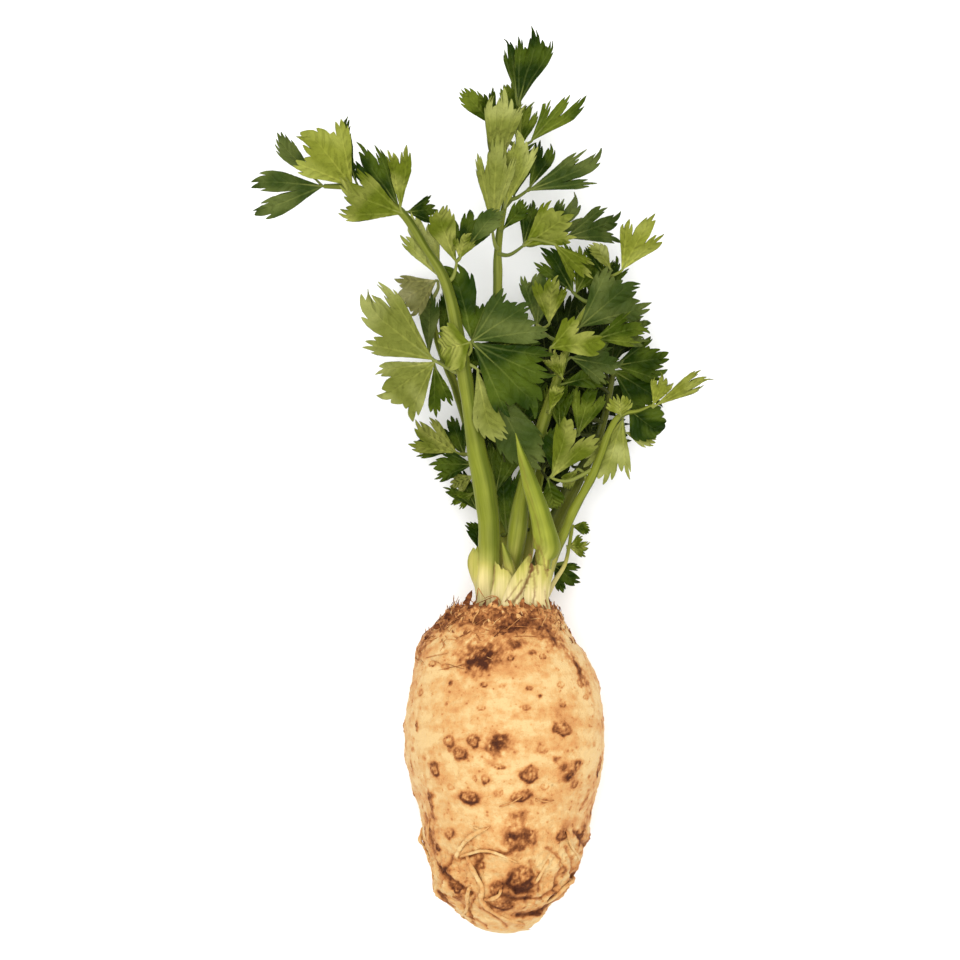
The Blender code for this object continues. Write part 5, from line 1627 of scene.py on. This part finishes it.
make_stem(
    Stalk(
        "stem_middle",
        (0, 0, 1),
        (
            (13, -56.1, 43.5, 11, 7.0),
            (14.2, -40, 46, 8.8, 6.5),
            (15.8, -31, 49, 8.4, 6.2),
            (17.4, -19.4, 50, 8.4, 6.0),
            (19.6, -5.5, 47.5, 6.8, 5.6),
            (26, 18, 46.5, 5.5, 4.8),
            (33, 40, 48, 4.5, 4.0),
            (39, 58, 49, 3.5, 3.4),
            (46, 74, 49, 3, 2.8),
            (58, 90, 49, 2, 2.0),
        ),
        (
            Leaflet(0.80, (25.6, 69.2, 49), 85, 28.5, 33, 2, 0, "slate", teeth=3, cut=0.2),
            Leaflet(None, (31, 70, 55), 88, 23.5, 33, 10, 172, "bright", cut=0.25),
            Leaflet(0.92, (42, 84, 48), 119, 26, 34, 4, 5, "dark"),
            Leaflet(None, (43, 84, 44), 62, 25, 34, 0, 5, "mid"),
            Leaflet(1.00, (56, 92, 46), 124, 16, 16, 0, 10, "dark", lobes=1, teeth=3),
            Leaflet(None, (59, 94, 48), 120, 16, 24, 10, 170, "pale", lobes=1, teeth=4),
            Leaflet(None, (63.5, 94, 51), 61.5, 30, 34, 10, 172, "yellow"),
            Leaflet(
                0.84, (44.5, 68.5, 51), 40, 34.5, 37, 3, 0, "slate",
                teeth=3, cut=0.15, plan=MIDDLE_SLATE_LOBES,
            ),
            Leaflet(0.80, (51, 63, 55), 16, 26.5, 31, 0, 178, "mid"),
            Leaflet(0.82, (56, 62, 46), 25, 23, 38, 0, 175, "slate", teeth=2),
            Leaflet(
                0.74, (31.5, 59, 60), 27, 26, 44, 8, 174, "bright",
                lobes=2, teeth=3, cut=0.3, plan=MIDDLE_BRIGHT_LOBES,
            ),
            Leaflet(0.72, (40.5, 55, 50), -10, 25, 38, 2, 0, "slate", cut=0.16),
            Leaflet(0.69, (37, 45.5, 56), 110, 14, 34, 6, 170, "bright"),
            Leaflet(0.66, (36.5, 43, 49), 14, 21, 24, 0, 10, "dark", lobes=1, teeth=4),
            Leaflet(0.58, (31, 30, 54), 72, 15, 22, 8, 165, "bright", lobes=1, teeth=4),
            Leaflet(0.52, (36, 22, 46), 92, 24, 27, 0, 10, "mid"),
            Leaflet(0.52, (44, 20, 45), 74, 26, 30, 0, 0, "mid"),
            Leaflet(0.93, (52, 79, 44), 90, 24, 30, 0, 5, "dark"),
            Leaflet(0.97, (56, 82, 45), 70, 20, 24, 0, 0, "dark"),
        ),
    )
)

# The right stem
# A young yellow-green leaf that bends out to the right, with a small crown of leaflets at the
# bend.

make_stem(
    Stalk(
        "stem_right",
        (0.5, 0, 1),
        (
            (26, -56.1, 43, 9, 6.5),
            (30.0, -40, 45, 6.6, 5.5),
            (37.6, -24, 47.5, 4.4, 4.4),
            (42.4, -13, 49, 4.1, 4.1),
            (49.4, 0, 51, 4.0, 4.0),
            (53.6, 10, 52.5, 3.8, 3.6),
            (57.2, 20, 54, 3.4, 3.2),
            (61.2, 27.4, 56, 2.8, 2.8),
            (65.5, 30, 57, 2, 2.0),
            (71, 31, 57, 1.6, 1.6),
            (77, 33.5, 57, 1.3, 1.3),
        ),
        (
            Leaflet(0.86, (63, 29, 59), 95, 10, 66, 15, 175, "yellow", lobes=1, teeth=6, tooth=0.3),
            Leaflet(1.00, (77.5, 33.5, 58), 68, 16.5, 31, 8, 170, "yellow"),
            Leaflet(None, (78, 33, 58), 31, 30.5, 14, 4, 178, "yellow"),
            Leaflet(0.90, (66.6, 31.8, 54), -38, 19, 54, -6, 5, "dark", lobes=1, teeth=4, tooth=0.04),
            Leaflet(0.88, (64, 27.5, 53), -107, 32, 31, -10, 175, "pale", cut=0.2),
            Leaflet(None, (65, 21.5, 50), -17, 15, 26, -5, 175, "pale", lobes=1, teeth=3),
            Leaflet(0.62, (32, 1, 56), 59, 30, 31, 6, 174, "bright", lobes=2, teeth=3, cut=0.4),
            Leaflet(None, (33, 2, 52.5), 92, 22, 22, 2, 10, "dark", lobes=1, teeth=4),
            Leaflet(None, (30.5, 0.6, 51), -77, 15.5, 34, -10, 5, "mid", lobes=1, teeth=4),
            Leaflet(0.54, (44, 5, 50), -130, 11, 30, -5, 175, "bright", lobes=1, teeth=4),
        ),
    )
)

# The back stem
# A leaf under the middle and right ones, painted dark for the shade they cast on it.

make_stem(
    Stalk(
        "stem_back",
        (0.3, 0, -1),
        (
            (22, -56.1, 34, 9.5, 6.5),
            (26.4, -40, 34, 8.0, 5.5),
            (32.6, -22, 35, 7.6, 4.8),
            (36.4, -13.7, 35, 7.6, 4.6),
            (40.8, -4.7, 35, 7.4, 4.4),
            (46.4, 5, 35, 6.0, 4.2),
            (52, 15, 35, 4.2, 3.8),
            (57, 32, 35, 3.4, 3.2),
            (60, 48, 36, 2.2, 2.2),
        ),
        (
            Leaflet(1.00, (60.5, 51.5, 38), 9, 26, 40, 4, 0, "dark", teeth=3, cut=0.14),
            Leaflet(None, (60, 49.5, 36), -31, 28, 42, 0, 0, "dark", cut=0.2),
            Leaflet(None, (58.5, 50, 35.5), 78, 28, 32, -4, 0, "deep"),
            Leaflet(0.85, (52, 36, 32), 115, 30, 32, -2, 0, "deep"),
            Leaflet(0.70, (50, 18, 31), 112, 27, 32, -2, 0, "deep"),
            Leaflet(0.60, (42, 6, 30), 100, 24, 32, -6, 0, "deep"),
            Leaflet(0.66, (40, 22, 33), 62, 30, 42, -4, 0, "deep", teeth=3),
            Leaflet(0.80, (34, 44, 34), 66, 30, 44, -4, 0, "deep", teeth=3),
            Leaflet(0.74, (26, 40, 33), 96, 30, 40, -4, 0, "deep", teeth=3),
            Leaflet(0.92, (46, 66, 34), 62, 28, 42, -4, 0, "deep", teeth=3),
            Leaflet(0.50, (28, 4, 31), 84, 32, 40, -4, 0, "deep", teeth=3),
            Leaflet(0.80, (30, 52, 40), 98, 26, 36, -4, 0, "deep", teeth=3),
            Leaflet(0.66, (23, 29, 38), 66, 28, 38, -4, 0, "deep", teeth=3),
            Leaflet(0.96, (57, 53, 34), 62, 22, 38, -4, 0, "deep", teeth=3),
        ),
        # Painted shade on the stalk, for the stems above it.
        shade=0.45,
    )
)

# The small stem
# A thread-thin young leaf low on the right of the crown, with three small blades.

make_stem(
    Stalk(
        "stem_small",
        (1, 0, 0),
        (
            (27.5, -56.1, 37, 3.2, 3.2),
            (33, -46, 35, 2.6, 2.6),
            (38, -38, 33.5, 2, 2.0),
            (40, -30, 32.5, 1.7, 1.7),
            (41.5, -20, 33, 1.4, 1.4),
        ),
        (
            Leaflet(1.00, (41.5, -20.8, 33), -8, 8.5, 34, 4, 10, "mid", lobes=1, teeth=4),
            Leaflet(0.72, (40, -30.2, 33), 4, 10.5, 54, 8, 170, "bright", tooth=0.2),
            Leaflet(0.55, (33.2, -38.4, 32.6), -40, 15, 52, 0, 5, "dark", cut=0.35),
        ),
    )
)

# The under stem
# A leaf under the left stem, of which small dark leaflets show past its left edge.

make_stem(
    Stalk(
        "stem_under",
        (-0.6, 0, -1),
        (
            (2.5, -56.1, 42, 9.5, 6.5),
            (2.2, -40, 39, 8, 6.0),
            (2.6, -22, 34, 7, 5.5),
            (1.0, -2, 29, 6, 5.0),
            (-4.2, 20, 24, 5, 4.2),
            (-11, 42, 20, 4, 3.6),
            (-19, 62, 19, 3, 2.8),
            (-22, 82, 21, 2, 2.0),
        ),
        (
            Leaflet(1.00, (-19.5, 90.5, 23), 209, 22, 42, 5, 175, "straw", cut=0.12),
            Leaflet(0.80, (-23, 56.5, 22), 91, 29, 16, 6, 10, "slate", lobes=1, teeth=5),
            Leaflet(0.50, (-10, 12, 30), 150, 26, 33, 6, 175, "bright"),
            Leaflet(None, (-12, 13, 27), 166, 19.5, 32, 0, 5, "dark"),
            Leaflet(None, (-7, 11, 27), 112, 20, 36, 4, 10, "dark"),
            Leaflet(0.44, (-3, 7, 31), 179, 20.5, 36, 0, 0, "dark", ripple=1.8),
            Leaflet(0.40, (-3, 2, 29), 207, 12.5, 36, 0, 175, "pale"),
            Leaflet(0.36, (-3, -6, 30), 206, 11.5, 38, -3, 5, "mid"),
            Leaflet(0.30, (4, -16, 29), 72, 27, 30, -4, 0, "deep"),
            Leaflet(0.44, (5, 2, 26), 50, 27, 30, -4, 0, "deep"),
            Leaflet(0.62, (-6, 30, 20), 58, 27, 28, 0, 0, "deep"),
            Leaflet(0.50, (3, 14, 23), 68, 26, 30, -4, 0, "deep"),
            Leaflet(0.66, (-12, 44, 17), 72, 20, 14, -4, 0, "deep", lobes=1, teeth=4),
            Leaflet(0.56, (-5, 24, 22), 100, 20, 14, -4, 0, "deep"),
            Leaflet(0.24, (-1, -14, 30), 117, 22, 38, -4, 0, "dark"),
            Leaflet(0.36, (0, 4, 27), 84, 26, 34, -4, 0, "deep", teeth=3),
            Leaflet(0.20, (0.4, -32.5, 46), 104, 15, 24, 2, 0, "dark", lobes=1, teeth=3),
            Leaflet(0.84, (-18, 62, 20), 80, 26, 14, 2, 0, "dark", lobes=1, teeth=4),
        ),
    )
)

# The low stem
# The lowest leaf of the bunch, spread on the floor behind all the others. Its leaflets are
# painted near-black for the shade they lie in.

make_stem(
    Stalk(
        "stem_low",
        (0.2, 0, -1),
        (
            (15.5, -56.1, 26.5, 8.5, 5.0),
            (19.4, -40, 23, 7, 5.0),
            (22.8, -20, 18.5, 6, 4.8),
            (27, 5, 14, 5, 4.2),
            (33, 30, 11, 4, 3.4),
            (39, 50, 10, 2.6, 2.4),
        ),
        (
            Leaflet(1.00, (40, 52, 10), 58, 34, 34, -4, 0, "deep", teeth=3),
            Leaflet(0.86, (42, 36, 10), 8, 30, 32, -6, 0, "deep"),
            Leaflet(0.84, (26, 38, 11), 112, 32, 32, -6, 0, "deep"),
            Leaflet(0.59, (35, 8, 12), 32, 28, 32, -8, 0, "deep"),
            Leaflet(0.60, (18, 10, 13), 128, 26, 30, -8, 0, "deep"),
            Leaflet(0.45, (24, -8, 15), 60, 26, 34, -8, 0, "deep"),
            Leaflet(0.96, (37, 60, 12), 98, 33, 32, -3, 0, "deep"),
            Leaflet(0.80, (45, 24, 10), -16, 26, 32, -6, 0, "deep"),
            Leaflet(0.32, (16, -22, 20), 96, 27, 34, -8, 0, "deep"),
        ),
    )
)

# The cut stalk
# A stout bare stalk whose leaf was torn off: it ends in a thin green point, with brown creases
# down its base.

make_stem(
    Stalk(
        "stalk_cut",
        (0.2, 0, 1),
        (
            (25.6, -56.1, 52, 10.4, 7.5),
            (27.2, -46, 53.5, 8.0, 6.8),
            (28.4, -38, 56, 7.6, 6.4),
            (28.8, -34.5, 57, 8.6, 6.2),
            (29.8, -32, 57.6, 11.6, 6.0),
            (30.0, -29.4, 58.2, 12.6, 5.8),
            (28.6, -22, 59.6, 10.8, 5.4),
            (26.4, -13.3, 61, 9.2, 5.0),
            (22.4, -1, 63, 7.2, 4.4),
            (18.6, 11, 64.6, 4.0, 3.0),
            (15.9, 21, 66, 0.8, 0.8),
        ),
        shade=1.15,
    )
)

# The stub
# The short pale point of a stalk that was broken off near the crown.

make_stem(
    Stalk(
        "stalk_stub",
        (0, 0, 1),
        (
            (13.4, -56.1, 51.5, 5.4, 4.4),
            (14, -44, 54.6, 4.8, 4.0),
            (12.4, -36, 57.5, 4.2, 3.2),
            (10.0, -28, 59, 1.0, 1.0),
        ),
    )
)

# The sheaths
# The feet of the stalks widen into thin cream sheaths that wrap round each other and hide where
# the stalks leave the crown. Each is a bowed sheet, torn or rounded at its upper edge.

SHEATH_ROWS = 26
SHEATH_COLUMNS = 40
# How far the middle bows out between the edges, then the left and the right edge from the foot up
SHEATHS = (
    (
        1.8,
        (
            (-0.4, -58, 50),
            (-1.6, -52, 51),
            (-2.2, -48, 51.4),
            (-4.0, -43.5, 52),
            (-5.5, -38, 52.5),
            (-4.9, -33.8, 53),
            (-3.2, -31, 54),
        ),
        (
            (4, -58, 54),
            (4, -52, 54.6),
            (4, -48, 54.8),
            (4, -43.5, 54.8),
            (3.5, -38, 54.6),
            (2.4, -33.6, 54.4),
            (-1.2, -30.7, 54.2),
        ),
    ),
    (
        0.9,
        ((5.0, -58, 60.4), (5.2, -50, 61.6), (5.9, -45, 61.6), (6.4, -40, 61.2), (6.7, -37, 60.8)),
        ((17, -58, 61.6), (16.4, -50, 62), (15.8, -46, 61.2), (15.2, -44, 60.6), (13.8, -42, 60.4)),
    ),
    (
        0.7,
        (
            (8, -58, 63),
            (11.4, -50, 63.2),
            (14, -44.6, 62.8),
            (17, -39.8, 62.2),
            (20, -35.8, 61.6),
            (22.3, -33.1, 61),
        ),
        (
            (18.4, -58, 62.6),
            (19, -52, 62.8),
            (20, -47, 62.6),
            (21.2, -42, 62.2),
            (22.2, -38, 61.6),
            (23.2, -34, 61),
        ),
    ),
    (
        1.4,
        ((15.5, -58, 60.4), (16.4, -52, 61.0), (18.4, -46, 61.2), (20.6, -41, 61.0), (22.2, -37, 60.6)),
        ((31.4, -58, 56.5), (30.4, -52, 57.5), (30.6, -47, 58.2), (31.4, -43, 58.8), (32.2, -40, 59)),
    ),
)


def make_sheaths():
    """Sheets between two curved edges, bowed out by a parabola across and thinned to the top."""
    made = []
    for number, (bow, left, right) in enumerate(SHEATHS):
        u = np.linspace(0, 1, SHEATH_COLUMNS)[None, :, None]
        v = np.linspace(0, 1, SHEATH_ROWS)[:, None, None]
        first, last = (smooth_through(edge, SHEATH_ROWS)[:, None] for edge in (left, right))
        sheet = first + (last - first) * u
        torn_top = 0.5 * np.sin(9 * u + number) + 0.35 * np.sin(23 * u + 2 * number)
        rise = 4 * bow * u * (1 - u) + 0.12 * waves(sheet * (1, 0.2, 1), 3.5, 800 + number)[..., None]
        sheet = sheet + np.concatenate([0 * rise, torn_top * v**6, rise], axis=-1)
        skin = shell(sheet, 0.9 - 0.6 * v)
        tint = stalk_tint(sheet[..., 1] + 1.5 * waves(sheet * (1, 0.3, 1), 4, 810 + number) - 1.0)
        tint = tint * (1 - 0.22 * np.abs(2 * u - 1) ** 4)
        torn = stalk_browning(sheet, 820 + number)
        torn = torn + 0.5 * soft_step(0.93, 1.0, v[..., 0]) * (waves(sheet, 3, 5) > 0.4)
        lay = np.stack([sheet[..., 0], sheet[..., 1], 0 * torn + number], axis=-1)
        values = {"tint": tint.reshape(-1, 3), "lay": lay.reshape(-1, 3), "torn": torn.ravel().clip(0, 1)}
        values["under"] = 0 * values["torn"]
        skin.values = {key: np.concatenate([value, value]) for key, value in values.items()}
        made.append(skin)
    return made


base_sheaths = put_together("base_sheaths", make_sheaths(), [stalk_green])
